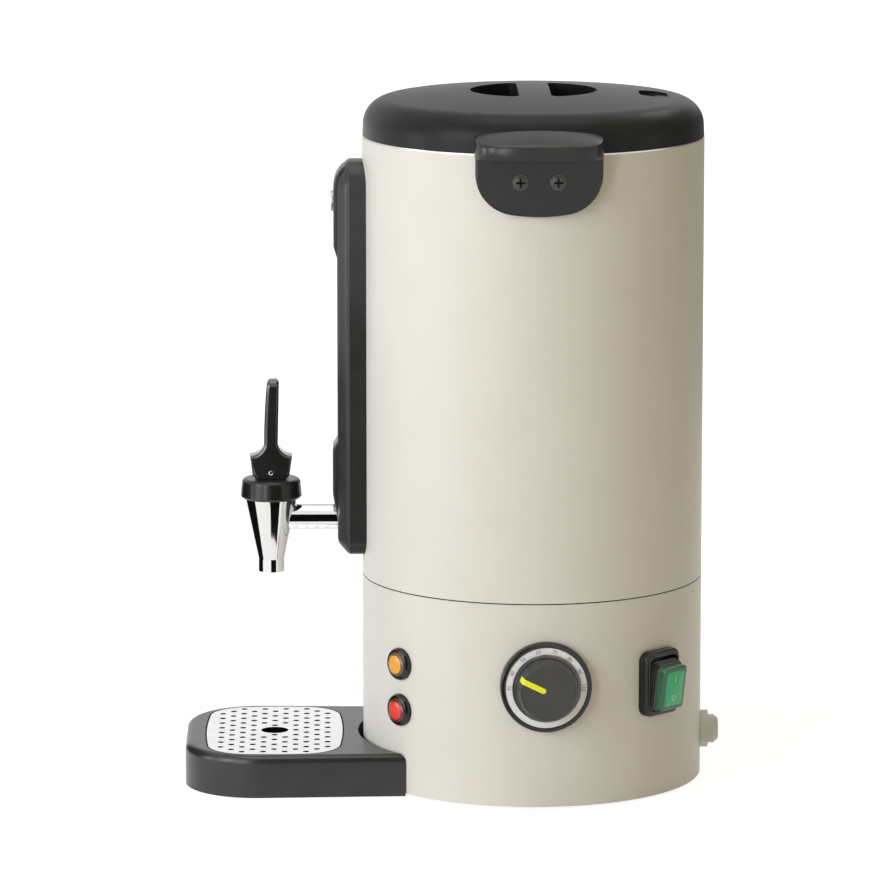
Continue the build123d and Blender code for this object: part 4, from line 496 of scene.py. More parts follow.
def wall_depth(outline: Array, radius: float) -> Array:
    """Distance of a round wall outward at each point of an outline, by Pythagoras.

    Args:
        outline: Pairs whose first value is the distance to the right.
        radius: Radius of the wall.

    Returns:
        The distances from the axis.
    """
    return np.sqrt(radius ** 2 - outline[:, 0] ** 2)


def rounded(points: Sequence[tuple[float, float]], radii: Sequence[float], steps: int = 7) -> Array:
    """Rounds each corner of a closed polygon with a true arc.

    The arc's middle lies on the corner's bisector, at the radius over the sine of half the
    corner, and its points swing evenly from the one tangent point to the other.

    Args:
        points: The corners in order.
        radii: The radius of each corner.
        steps: Points in each arc.

    Returns:
        The outline, steps points for each corner.
    """
    corner = np.asarray(points, float)
    radius = np.broadcast_to(np.asarray(radii, float), (len(corner),))[:, None]
    back = np.roll(corner, 1, 0) - corner
    ahead = np.roll(corner, -1, 0) - corner
    back = back / np.linalg.norm(back, axis=1, keepdims=True)
    ahead = ahead / np.linalg.norm(ahead, axis=1, keepdims=True)
    opening = np.arccos(np.clip((back * ahead).sum(1, keepdims=True), -1.0, 1.0))
    bisector = (back + ahead) / np.linalg.norm(back + ahead, axis=1, keepdims=True)
    middle = corner + bisector * radius / np.sin(opening / 2)
    first = corner + back * radius / np.tan(opening / 2) - middle
    last = corner + ahead * radius / np.tan(opening / 2) - middle
    turn = (math.pi - opening)[:, None]
    share = np.linspace(0.0, 1.0, steps)[None, :, None]
    arcs = (first[:, None] * np.sin((1 - share) * turn)
            + last[:, None] * np.sin(share * turn)) / np.sin(turn)
    return (middle[:, None] + arcs).reshape(-1, 2)


def plate_outline(width: float, height: float, radius: float, inset: float = 0.0) -> Array:
    """Rectangle about the origin with round corners: its four corners, each rounded.

    Args:
        width: Width of the rectangle.
        height: Height of the rectangle.
        radius: Radius of its corners.
        inset: Distance by which it is drawn in on all sides.

    Returns:
        The outline.
    """
    least_corner = 0.2
    across, up = width / 2 - inset, height / 2 - inset
    return rounded([(across, up), (-across, up), (-across, -up), (across, -up)],
                   [max(radius - inset, least_corner)] * 4)


def drawn_in(outline: Array, inset: float) -> Array:
    """Offsets a closed outline by moving each point along its inward normal.

    Args:
        outline: The outline, run counter-clockwise.
        inset: Distance inward, or outward below zero.

    Returns:
        The new outline.
    """
    along = np.roll(outline, -1, 0) - np.roll(outline, 1, 0)
    along = along / np.linalg.norm(along, axis=1, keepdims=True)
    return outline + inset * np.stack([-along[:, 1], along[:, 0]], 1)


def edge_round(radius: float, steps: int = 5) -> list[tuple[float, float]]:
    """Quarter circle from the side wall to the face.

    Args:
        radius: Radius of the rounding.
        steps: Points on it.

    Returns:
        Pairs of inset from the wall and drop under the face.
    """
    turn = np.linspace(0.0, math.pi / 2, steps)
    insets, drops = radius * (1 - np.cos(turn)), radius * (1 - np.sin(turn))
    return list(zip(insets.tolist(), drops.tolist()))


def lofted(levels: Sequence[Array], closed_ends: tuple[bool, bool] = (True, True)) -> Array:
    """Joins rings of equally many points into one grid.

    Args:
        levels: The rings in order.
        closed_ends: Whether the first and the last ring are shut at their own middles.

    Returns:
        The grid, one row for each ring.
    """
    rings = list(levels)
    if closed_ends[0]:
        rings.insert(0, np.broadcast_to(rings[0].mean(0), rings[0].shape))
    if closed_ends[1]:
        rings.append(np.broadcast_to(rings[-1].mean(0), rings[-1].shape))
    return np.stack(rings)


def revolved(profile: Sequence[tuple[float, float]], place: Place,
             turns: int = RING_STEPS) -> Array:
    """Surface of revolution about a place's outward line.

    Each profile point is a radius and a height, and the radius turns evenly through the circle.

    Args:
        profile: Radii and heights in order.
        place: The place whose outward line is the axis.
        turns: Points round the circle.

    Returns:
        The grid, one row for each profile point.
    """
    radius, height = np.asarray(profile, float).T[:, :, None]
    angle = np.linspace(0.0, 2 * math.pi, turns, endpoint=False)[None, :]
    return place.at(radius * np.cos(angle), radius * np.sin(angle), height)


# ---- meshes and pieces ----
def gathered(items: bpy.types.bpy_prop_collection, name: str, width: int = 1,
             kind: type = np.float64) -> Array:
    """Reads one property of all of a mesh's points, edges, loops or faces.

    Args:
        items: The collection.
        name: The property.
        width: Numbers in it.
        kind: Their type.

    Returns:
        One row for each item, or one number where the width is 1.
    """
    flat = np.empty(len(items) * width, dtype=kind)
    items.foreach_get(name, flat)
    return flat.reshape(-1, width) if width > 1 else flat


def local_points(items: bpy.types.bpy_prop_collection, name: str = "co") -> Array:
    """Reads places from a mesh in millimetres from the foot of the tank's axis.

    Args:
        items: Vertices, or faces when the property is their centre.
        name: The property.

    Returns:
        One point for each item.
    """
    return gathered(items, name, 3) / MM - AXIS


def plain_mesh(name: str, points: Array, quads: Array) -> bpy.types.Mesh:
    """Makes a mesh of quads.

    Args:
        name: Name of the mesh.
        points: Its points, in millimetres from the foot of the tank's axis.
        quads: Four point numbers for each face.

    Returns:
        The mesh, in metres in the shared frame.
    """
    mesh = bpy.data.meshes.new(name)
    mesh.from_pydata(((points + AXIS) * MM).tolist(), [], quads.tolist())
    return mesh


def shaded(mesh: bpy.types.Mesh, smooth_below: float = SMOOTH_BELOW) -> bpy.types.Mesh:
    """Shades a mesh smooth up to an angle.

    Args:
        mesh: The mesh.
        smooth_below: Edges that bend more than this many degrees stay sharp.

    Returns:
        The same mesh.
    """
    mesh.shade_smooth()
    mesh.set_sharp_from_angle(angle=math.radians(smooth_below))
    return mesh


def reworked(mesh: bpy.types.Mesh, *steps: Callable[[bmesh.types.BMesh], None]) -> bpy.types.Mesh:
    """Takes a mesh through steps of mending.

    Args:
        mesh: The mesh.
        steps: The steps, each of which changes the work mesh.

    Returns:
        The same mesh.
    """
    work = bmesh.new()
    work.from_mesh(mesh)
    for step in steps:
        step(work)
    work.to_mesh(mesh)
    work.free()
    return mesh


def merge_meeting(work: bmesh.types.BMesh) -> None:
    """Merges points that meet, which shuts poles and seams."""
    bmesh.ops.remove_doubles(work, verts=work.verts, dist=MEETING)


def face_outward(work: bmesh.types.BMesh) -> None:
    """Drops faces without area and turns the rest outward."""
    bmesh.ops.dissolve_degenerate(work, edges=work.edges, dist=SLIVER)
    bmesh.ops.recalc_face_normals(work, faces=work.faces)


def join_level(work: bmesh.types.BMesh) -> None:
    """Joins neighbouring faces that lie level with each other."""
    bmesh.ops.dissolve_limit(work, angle_limit=math.radians(LEVEL_WITHIN), verts=work.verts,
                             edges=work.edges)


def shell_mesh(name: str, grids: Sequence[Array],
               smooth_below: float = SMOOTH_BELOW) -> bpy.types.Mesh:
    """Makes one mesh of grids whose columns close on themselves.

    Every four neighbouring grid points are a face. Points that meet are merged, and the faces
    are turned outward.

    Args:
        name: Name of the mesh.
        grids: The grids, in millimetres from the foot of the tank's axis.
        smooth_below: Edges that bend more than this many degrees stay sharp.

    Returns:
        The mesh, in metres in the shared frame.
    """
    points: list[Array] = []
    quads: list[Array] = []
    start = 0
    for grid in grids:
        rows, columns = grid.shape[:2]
        index = start + np.arange(rows * columns).reshape(rows, columns)
        beside = np.roll(index, -1, 1)
        quads.append(np.stack([index[:-1], beside[:-1], beside[1:], index[1:]], -1).reshape(-1, 4))
        points.append(grid.reshape(-1, 3))
        start += rows * columns
    mesh = plain_mesh(name, np.concatenate(points), np.concatenate(quads))
    return shaded(reworked(mesh, merge_meeting, face_outward), smooth_below)


def merged_copy(node: str) -> bpy.types.Mesh:
    """Returns a copy of a node's mesh with its meeting points merged."""
    return reworked(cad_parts[node].data.copy(), merge_meeting)


def linked(name: str, data: bpy.types.ID) -> bpy.types.Object:
    """Makes an object of a mesh, lamp or camera and links it to the scene.

    Args:
        name: Name of the object.
        data: What it holds.

    Returns:
        The object.
    """
    made = bpy.data.objects.new(name, data)
    bpy.context.scene.collection.objects.link(made)
    return made


def piece(name: str, mesh: bpy.types.Mesh, finish: Finish, body: str,
          stands_for: Sequence[str] = ()) -> bpy.types.Object:
    """Makes an object that moves with a body and may stand for CAD nodes.

    Args:
        name: Name of the object.
        mesh: Its mesh.
        finish: Its finish.
        body: The body that it rides on.
        stands_for: The nodes that it replaces.

    Returns:
        The object.
    """
    made = linked(name, mesh)
    mesh.materials.clear()
    mesh.materials.append(finish.material())
    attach(made, body)
    if stands_for:
        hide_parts(*stands_for)
    LOG.info("piece %s: %d faces, %s, on %s", name, len(mesh.polygons), finish.name, body)
    return made


def lettering(name: str, text: str, size: float,
              place: Callable[[Array, Array], Array]) -> bpy.types.Mesh:
    """Makes flat lettering a mesh and lays it on a surface.

    Args:
        name: Name of the mesh.
        text: What it says.
        size: Height of the type.
        place: Maps across and up, in millimetres from the middle of the text, to points.

    Returns:
        The mesh, in metres in the shared frame.
    """
    curve = bpy.data.curves.new(name, "FONT")
    curve.body, curve.size = text, size
    curve.align_x = curve.align_y = "CENTER"
    curve.resolution_u = LETTER_STEPS
    holder = bpy.data.objects.new(name, curve)
    mesh = bpy.data.meshes.new_from_object(holder)
    bpy.data.objects.remove(holder)
    flat = gathered(mesh.vertices, "co", 3)
    laid = (place(flat[:, 0], flat[:, 1]) + AXIS) * MM
    mesh.vertices.foreach_set("co", laid.ravel())
    mesh.update()
    return mesh


def trim(made: bpy.types.Object, finish: Finish, chosen: Callable[[Array, Array], Array]) -> None:
    """Gives some faces of a piece a second finish.

    Args:
        made: The piece.
        finish: The second finish.
        chosen: Tells from the faces' middles, in millimetres, and their normals which faces
            take it.
    """
    mesh = made.data
    mesh.materials.append(finish.material())
    mask = chosen(local_points(mesh.polygons, "center"), gathered(mesh.polygons, "normal", 3))
    mesh.polygons.foreach_set("material_index", mask.astype(np.int32))


def bending_edges(mesh: bpy.types.Mesh, degrees: float) -> Array:
    """Tells which edges of a mesh have faces that bend by more than an angle.

    The loops are sorted by edge, and the normals of the two faces of each edge are compared.

    Args:
        mesh: The mesh.
        degrees: The angle.

    Returns:
        One truth value for each edge.
    """
    edge = gathered(mesh.loops, "edge_index", kind=np.int64)
    sides = gathered(mesh.polygons, "loop_total", kind=np.int64)
    normals = gathered(mesh.polygons, "normal", 3)
    face = np.repeat(np.arange(len(sides)), sides)
    order = np.argsort(edge, kind="stable")
    edge, face = edge[order], face[order]
    first = np.flatnonzero(edge[:-1] == edge[1:])
    cosine = (normals[face[first]] * normals[face[first + 1]]).sum(1)
    bends = np.zeros(len(mesh.edges), dtype=bool)
    bends[edge[first]] = cosine < math.cos(math.radians(degrees))
    return bends


def eased_copy(node: str, width: float, chosen: Callable[[Array], Array], finish: Finish,
               body: str) -> bpy.types.Object:
    """Stands a merged copy of a node with rounded edges in the node's place.

    Args:
        node: The CAD node.
        width: Width of the rounding, in millimetres.
        chosen: Tells from the points of the edges' middles, in millimetres, which edges are
            rounded.
        finish: Finish of the copy.
        body: The body that it rides on.

    Returns:
        The new piece.
    """
    mesh = reworked(merged_copy(node), join_level)
    ends = gathered(mesh.edges, "vertices", 2, np.int32)
    middles = local_points(mesh.vertices)[ends].mean(1)
    weights = mesh.attributes.new("bevel_weight_edge", "FLOAT", "EDGE")
    picked = chosen(middles) & bending_edges(mesh, BENT)
    weights.data.foreach_set("value", picked.astype(np.float32))
    made = piece(f"{node}_eased", shaded(mesh), finish, body, (node,))
    bevel = made.modifiers.new("round", "BEVEL")
    bevel.width, bevel.segments, bevel.limit_method = width * MM, EASE_STEPS, "WEIGHT"
    bevel.use_clamp_overlap = False
    bevel.harden_normals = True
    return made


# ---- the urn's pieces ----
@dataclass
class CarryHandle:
    """Black moulded handle: a crowned flange over an upright plate.

    Attributes:
        name: Name of the CAD node that it stands for.
        angle: Angle of the handle round the tank's axis, in degrees.
    """

    name: str
    angle: float
    half_width: float = 41.5            # the flange from above
    front: float = 136.0
    bow_r: float = 95.0
    corner_r: float = 20.0
    lid_clear_r: float = 113.45         # the hollow back keeps clear of the lid
    middle: float = 123.0               # the top's rings shrink towards this distance
    rim_z: float = 428.2                # the flange from the side
    lip_r: float = 0.6
    crease_z: float = 438.0             # height of the front edge
    crown_start: float = 88.0           # the crown's arc is level at this distance
    crown_r: float = 105.0
    camber_r: float = 153.0             # the crown's arc across
    wall: float = 3.0
    edge_r: float = 1.3
    plate_front: float = 118.0          # the upright plate
    plate_half_width: float = 41.0
    plate_bottom_z: float = 390.5
    plate_bow_r: float = 115.0
    plate_corner_r: float = 26.5
    plate_edge_r: float = 1.6
    plate_top_gap: float = 1.5          # the plate ends this far under the crease
    wall_r: float = 113.05              # the jacket
    arc_steps: int = 33                 # points and rings
    corner_steps: int = 13
    low_steps: int = 25
    line_steps: int = 9
    top_rings: int = 9

    def plan(self, inset: float) -> Array:
        """Outline of the flange from above: bowed front, round corners, sides and hollow back arc.

        Args:
            inset: Distance by which it is drawn in on all sides.

        Returns:
            Pairs of distance outward and distance across.
        """
        bow_x = self.front - self.bow_r
        spread = self.half_width - self.corner_r
        corner_x = bow_x + math.sqrt((self.bow_r - self.corner_r) ** 2 - spread ** 2)
        swing = math.atan2(spread, corner_x - bow_x)
        front = np.linspace(-swing, swing, self.arc_steps)
        corner = np.linspace(swing, math.pi / 2, self.corner_steps)[1:]
        radius, corner_r = self.bow_r - inset, self.corner_r - inset
        bow = np.stack([bow_x + radius * np.cos(front), radius * np.sin(front)], 1)
        right = np.stack([corner_x + corner_r * np.cos(corner),
                          spread + corner_r * np.sin(corner)], 1)
        left = right[::-1] * (1, -1)
        back_r = self.lid_clear_r + inset
        half = math.asin((self.half_width - inset) / back_r)
        sweep = np.linspace(half, -half, self.arc_steps)
        back = np.stack([back_r * np.cos(sweep), back_r * np.sin(sweep)], 1)
        return np.concatenate([left, bow, right, back])

    def crown(self, plan: Array, inset: float) -> Array:
        """Height of the crowned top: an arc along the reach, turned about a low axis along it.

        Args:
            plan: Pairs of distance outward and distance across.
            inset: Distance under the outer top.

        Returns:
            The heights.
        """
        reach = self.front - self.crown_start
        top = self.crease_z + self.crown_r - math.sqrt(self.crown_r ** 2 - reach ** 2)
        axis_z = top - self.camber_r
        along = np.sqrt(self.crown_r ** 2 - (plan[:, 0] - self.crown_start) ** 2) - self.crown_r
        return axis_z + np.sqrt((self.camber_r + along) ** 2 - plan[:, 1] ** 2) - inset

    def shrunk(self, plan: Array, share: float) -> Array:
        """Draws a plan together towards the flange's middle.

        Args:
            plan: The plan.
            share: 1 for the plan itself, 0 for the middle.

        Returns:
            The smaller plan.
        """
        middle = np.array([self.middle, 0.0])
        return middle + share * (plan - middle)

    def cap(self, place: Place) -> Array:
        """Surface of the hollow flange: plans stacked at the crown's height, then at the rim's.

        Args:
            place: The handle's place at height 0.

        Returns:
            The grid, from the middle of the top over the rim to the middle of the ceiling.
        """
        def level(plan: Array, height: Array | float) -> Array:
            """Carries a plan to a height."""
            return place.at(plan[:, 1], height, plan[:, 0])

        rings = []
        for share in np.linspace(0.0, 1.0, self.top_rings):
            plan = self.shrunk(self.plan(self.edge_r), share)
            rings.append(level(plan, self.crown(plan, 0.0)))
        for inset, drop in reversed(edge_round(self.edge_r)[:-1]):
            plan = self.plan(inset)
            rings.append(level(plan, self.crown(plan, drop)))
        rings += [level(self.plan(inset), self.rim_z + rise)
                  for inset, rise in edge_round(self.lip_r, 3)]
        inner = self.plan(self.wall)
        rings.append(level(inner, self.rim_z))
        for share in (1.0, 0.5, 0.0):
            plan = self.shrunk(inner, share)
            rings.append(level(plan, self.crown(plan, self.wall)))
        return np.stack(rings)

    def plate_edge(self, inset: float) -> Array:
        """Outline of the plate from outside: side lines, round corners and a bowed lower edge.

        Args:
            inset: Distance by which it is drawn in on all sides.

        Returns:
            Pairs of distance across and height.
        """
        bow_z = self.plate_bottom_z + self.plate_bow_r
        spread = self.plate_half_width - self.plate_corner_r
        corner_z = bow_z - math.sqrt((self.plate_bow_r - self.plate_corner_r) ** 2 - spread ** 2)
        swing = math.atan2(corner_z - bow_z, spread)
        radius, corner_r = self.plate_bow_r - inset, self.plate_corner_r - inset
        corner = np.linspace(0.0, swing, self.corner_steps)
        right = np.stack([spread + corner_r * np.cos(corner),
                          corner_z + corner_r * np.sin(corner)], 1)
        low = np.linspace(swing, -math.pi - swing, self.low_steps)[1:-1]
        bow = np.stack([radius * np.cos(low), bow_z + radius * np.sin(low)], 1)
        left = right[::-1] * (-1, 1)
        side = self.plate_half_width - inset
        line = np.stack([np.linspace(-side, side, self.line_steps),
                         np.full(self.line_steps, self.crease_z - self.plate_top_gap)], 1)
        return np.concatenate([right, bow, left, line])

    def plate(self, place: Place) -> Array:
        """Surface of the upright plate: its outline from the wall to the rounded front.

        Args:
            place: The handle's place at height 0.

        Returns:
            The grid.
        """
        wall = self.plate_edge(0.0)
        rings = [place.ring(wall, wall_depth(wall, self.wall_r))]
        rings += [place.ring(self.plate_edge(inset), self.plate_front - drop)
                  for inset, drop in edge_round(self.plate_edge_r)]
        return lofted(rings)

    def build(self) -> None:
        """Builds the handle."""
        place = on_wall(self.angle, 0.0)
        mesh = shell_mesh(self.name, [self.cap(place), self.plate(place)])
        piece(f"{self.name}_moulding", mesh, PALETTE.satin, "urn", (self.name,))


@dataclass
class CrossHeads:
    """Domed screw heads on a handle's plate, each cross recess shown as a dark cross of painted
    shade.

    Attributes:
        name: Name of the pieces.
        angle: Angle of the handle round the tank's axis, in degrees.
    """

    name: str
    angle: float
    height: float = 413.0
    spread: float = 12.1                # half the distance between the two heads
    seat_r: float = 118.0               # the plate's front
    rim: Profile = (                    # radius, distance outward
        (4.25, -0.6), (5.1, -0.6), (5.1, 0.1), (4.95, 0.35), (4.6, 0.45), (4.25, 0.35),
        (4.25, -0.6))
    dome: Profile = (
        (0.0, 1.0), (4.24, 1.0), (4.24, 1.35), (4.1, 1.62), (3.4, 1.9), (2.4, 2.08), (1.2, 2.16),
        (0.0, 2.18))
    steps: int = 40
    arm: float = 3.0                    # the cross
    arm_half: float = 0.62
    cross_top: float = 2.42
    cross_bend: float = 0.03            # fall for each square millimetre
    cross_wall: float = 0.5
    cross_smooth_below: float = 10.0

    def cross(self, place: Place) -> Array:
        """Surface of the recess: a dark cross of painted shade just over the dome, with a wall
        under it.

        Three points of one arm are turned by quarters, and its height falls with the square of
        the distance from the middle.

        Args:
            place: The screw's seat.

        Returns:
            The grid.
        """
        arm, half = self.arm, self.arm_half
        quarter = np.array([(arm, -half), (arm, half), (half, half)])
        turns = np.radians([0.0, 90.0, 180.0, 270.0])
        spin = np.stack([np.stack([np.cos(turns), -np.sin(turns)], -1),
                         np.stack([np.sin(turns), np.cos(turns)], -1)], 1)
        outline = np.einsum("tij,pj->tpi", spin, quarter).reshape(-1, 2)
        out = self.cross_top - self.cross_bend * (outline ** 2).sum(1)
        return lofted([place.ring(outline, out - self.cross_wall), place.ring(outline, out)],
                      (False, True))

    def build(self) -> None:
        """Builds both heads of the handle, each of a seat, a dome and a cross."""
        plate = on_wall(self.angle, self.height, self.seat_r)
        for side, where in ((-1.0, "near"), (1.0, "far")):
            place = plate.beside(side * self.spread)
            for part, grid, smooth_below, finish in (
                ("seat", revolved(self.rim, place, self.steps), SMOOTH_BELOW, PALETTE.screw_rim),
                ("dome", revolved(self.dome, place, self.steps), SMOOTH_BELOW, PALETTE.screw),
                ("cross", self.cross(place), self.cross_smooth_below, PALETTE.painted_shade),
            ):
                name = f"{self.name}_{where}_{part}"
                piece(name, shell_mesh(name, [grid], smooth_below), finish, "urn")


@dataclass
class GaugeCover:
    """Long cover of the water gauge, with a sloped crown, two raised pads and a window slot."""

    angle: float = -90.0
    half_width: float = 23.5
    bottom_z: float = 150.5
    top_z: float = 413.5
    top_corner_r: float = 17.0
    top_corner_draw: float = 0.75       # loss of corner radius for each millimetre of inset
    bottom_corner_r: float = 12.5
    bottom_corner_draw: float = 0.85
    corner_steps: int = 9
    wall_r: float = 113.05
    flank: float = 122.6                # distance at which the flank turns into the crown
    front: float = 129.8                # distance of the face
    crown_inset: float = 8.28           # width of the slope between them
    crease_r: float = 2.4               # reach of its two creases
    crease_sag: float = 0.115
    low_crease: tuple[float, ...] = (-1.0, -0.35, 0.35, 1.0)
    high_crease: tuple[float, ...] = (-1.0, -0.3, 0.3, 1.0)
    slot_half_width: float = 4.5        # the window slot
    slot_z: tuple[float, float] = (232.0, 343.8)
    slot_round: float = 0.98
    slot_lip: Profile = ((-0.5, 0.0), (-0.15, 0.15), (0.0, 0.5))
    slot_floor: float = 116.6
    strip_inset: float = 0.4
    strip_faces: tuple[float, float] = (0.02, 0.12)
    pad_half_width: float = 13.5        # the raised pads
    pad_edge_r: float = 1.2
    pad_skirt: float = 99.0             # the side walls go down without end
    pad_root: float = 1.8               # but stop this far under the face
    upper_pad: Profile = (              # height, rise over the face
        (349.5, 0.0), (350.0, 0.15), (356.4, 2.1), (357.6, 2.3), (376.0, 2.3), (395.0, 2.3),
        (398.5, 2.05), (401.7, 1.35), (404.6, 0.2), (407.0, -1.3), (409.0, -3.0), (410.4, -4.8),
        (411.3, -6.8))
    lower_pad: Profile = (
        (174.5, 0.0), (175.0, 0.1), (184.0, 1.9), (190.5, 3.0), (193.5, 3.2), (205.0, 3.2),
        (220.0, 3.2), (221.8, 3.0), (226.6, 0.15), (227.0, 0.0))
    smooth_below: float = 24.0

    def outline(self, inset: float) -> Array:
        """Outline of the cover from the front: a rectangle with each corner rounded.

        Args:
            inset: Distance by which it is drawn in on all sides.

        Returns:
            Pairs of distance across and height.
        """
        side, low, high = self.half_width - inset, self.bottom_z + inset, self.top_z - inset
        top_r = self.top_corner_r - inset * self.top_corner_draw
        low_r = self.bottom_corner_r - inset * self.bottom_corner_draw
        return rounded([(side, high), (-side, high), (-side, low), (side, low)],
                       [top_r, top_r, low_r, low_r], self.corner_steps)

    def slot(self) -> Array:
        """Outline of the window slot: a narrow rectangle with round ends.

        Returns:
            Pairs of distance across and height.
        """
        side, (low, high) = self.slot_half_width, self.slot_z
        return rounded([(side, high), (-side, high), (-side, low), (side, low)],
                       [side * self.slot_round] * 4, self.corner_steps)

    def cover(self, place: Place) -> Array:
        """Surface from the wall over flank, crown and face into the slot and across its floor.

        A crease is rings at even steps before and behind it, which sag a little in its middle.

        Args:
            place: The front of the urn.

        Returns:
            The grid.
        """
        wall = self.outline(0.0)
        rings = [place.ring(wall, wall_depth(wall, self.wall_r))]
        slope = (self.front - self.flank) / self.crown_inset
        for reach in self.low_crease:
            rise = reach * self.crease_r * (1.0 if reach < 0 else slope)
            sag = self.crease_sag * self.crease_r * (1 - abs(reach))
            rings.append(place.ring(self.outline(max(reach, 0.0) * self.crease_r),
                                    self.flank + rise - sag))
        for reach in self.high_crease:
            rise = min(reach, 0.0) * self.crease_r * slope
            sag = self.crease_sag * self.crease_r * (1 - abs(reach))
            rings.append(place.ring(self.outline(self.crown_inset + reach * self.crease_r),
                                    self.front + rise - sag))
        slot = self.slot()
        rings += [place.ring(drawn_in(slot, inset), self.front - drop)
                  for inset, drop in self.slot_lip]
        rings.append(place.ring(slot, self.slot_floor))
        return lofted(rings)

    def pad(self, place: Place, profile: Profile) -> Array:
        """Surface of a raised pad: its profile along the height, flat with round edges across.

        Args:
            place: The front of the urn.
            profile: Heights, each with the rise over the cover's face.

        Returns:
            The grid, closed round the pad's cross-section.
        """
        up, out = np.asarray(profile, float).T
        corner = np.array(edge_round(self.pad_edge_r))
        half = np.concatenate([[self.pad_half_width], self.pad_half_width - corner[:, 0]])
        drop = np.concatenate([[self.pad_skirt], corner[:, 1]])
        across = np.concatenate([half, -half[::-1]])
        fall = np.concatenate([drop, drop[::-1]])
        root = np.minimum(out[:, None], 0.0) - self.pad_root
        level = np.maximum(out[:, None] - fall[None, :], root)
        return lofted(list(place.at(across[None, :], up[:, None], self.front + level)))

    def build(self) -> None:
        """Builds the cover and the pale strip behind its glass."""
        place = on_wall(self.angle, 0.0)
        pads = [self.pad(place, profile) for profile in (self.upper_pad, self.lower_pad)]
        mesh = shell_mesh("gauge_cover", [self.cover(place), *pads], self.smooth_below)
        piece("gauge_cover_moulding", mesh, PALETTE.cover, "urn", ("gauge_housing",))
        strip = drawn_in(self.slot(), self.strip_inset)
        sheet = [place.ring(strip, self.slot_floor + rise) for rise in self.strip_faces]
        piece("gauge_backing", shell_mesh("gauge_backing", [lofted(sheet)]), PALETTE.white, "urn")


@dataclass
class TapLever:
    """Black tap lever with its long edges rounded."""

    half_width: float = 8.0
    axis_y: float = -174.0              # the pin
    pin_z: float = 204.5
    pin_clear: float = 3.2
    top_z: float = 267.0                # the blade over it
    end_r: float = 5.0
    lean: float = 1.6
    half_thickness: float = 2.2
    edge_r: float = 2.3
    foot_drop: float = 3.9              # the rounding starts this far under the pin
    side_reach: float = 0.05
    end_reach: float = 0.5
    pin_ring: Profile = (               # radius, distance outward
        (0.8, 7.7), (0.85, 8.1), (1.1, 8.3), (1.5, 8.25), (1.75, 7.95), (1.8, 7.7), (0.8, 7.7))
    ring_steps: int = 32

    def rounded_here(self, points: Array) -> Array:
        """Tells the outer edges of the two sides and the edges of the round end from the rest.

        Args:
            points: Middles of the edges.

        Returns:
            One truth value for each edge.
        """
        side = np.abs(np.abs(points[:, 0]) - self.half_width) < self.side_reach
        off_pin = (np.hypot(points[:, 1] - self.axis_y, points[:, 2] - self.pin_z)
                   > self.pin_clear)
        above_foot = points[:, 2] > self.pin_z - self.foot_drop
        off_web = np.abs(points[:, 1] - self.axis_y - self.lean) > self.half_thickness
        end = (points[:, 2] > self.top_z - self.end_r - self.end_reach) & off_web
        return (side & off_pin & above_foot) | end

    def build(self) -> None:
        """Rounds the lever's edges, apart from those round the pin, and rims the pin."""
        eased_copy("tap_lever", self.edge_r, self.rounded_here, PALETTE.lever, "lever")
        for side, angle in (("near", 0.0), ("far", 180.0)):
            wall = on_wall(angle, self.pin_z)
            pin = Place(np.array([0.0, self.axis_y, self.pin_z]), wall.across, wall.up, wall.out)
            grid = revolved(self.pin_ring, pin, self.ring_steps)
            piece(f"lever_pin_ring_{side}", shell_mesh("lever_pin_ring", [grid]), PALETTE.chrome,
                  "lever")


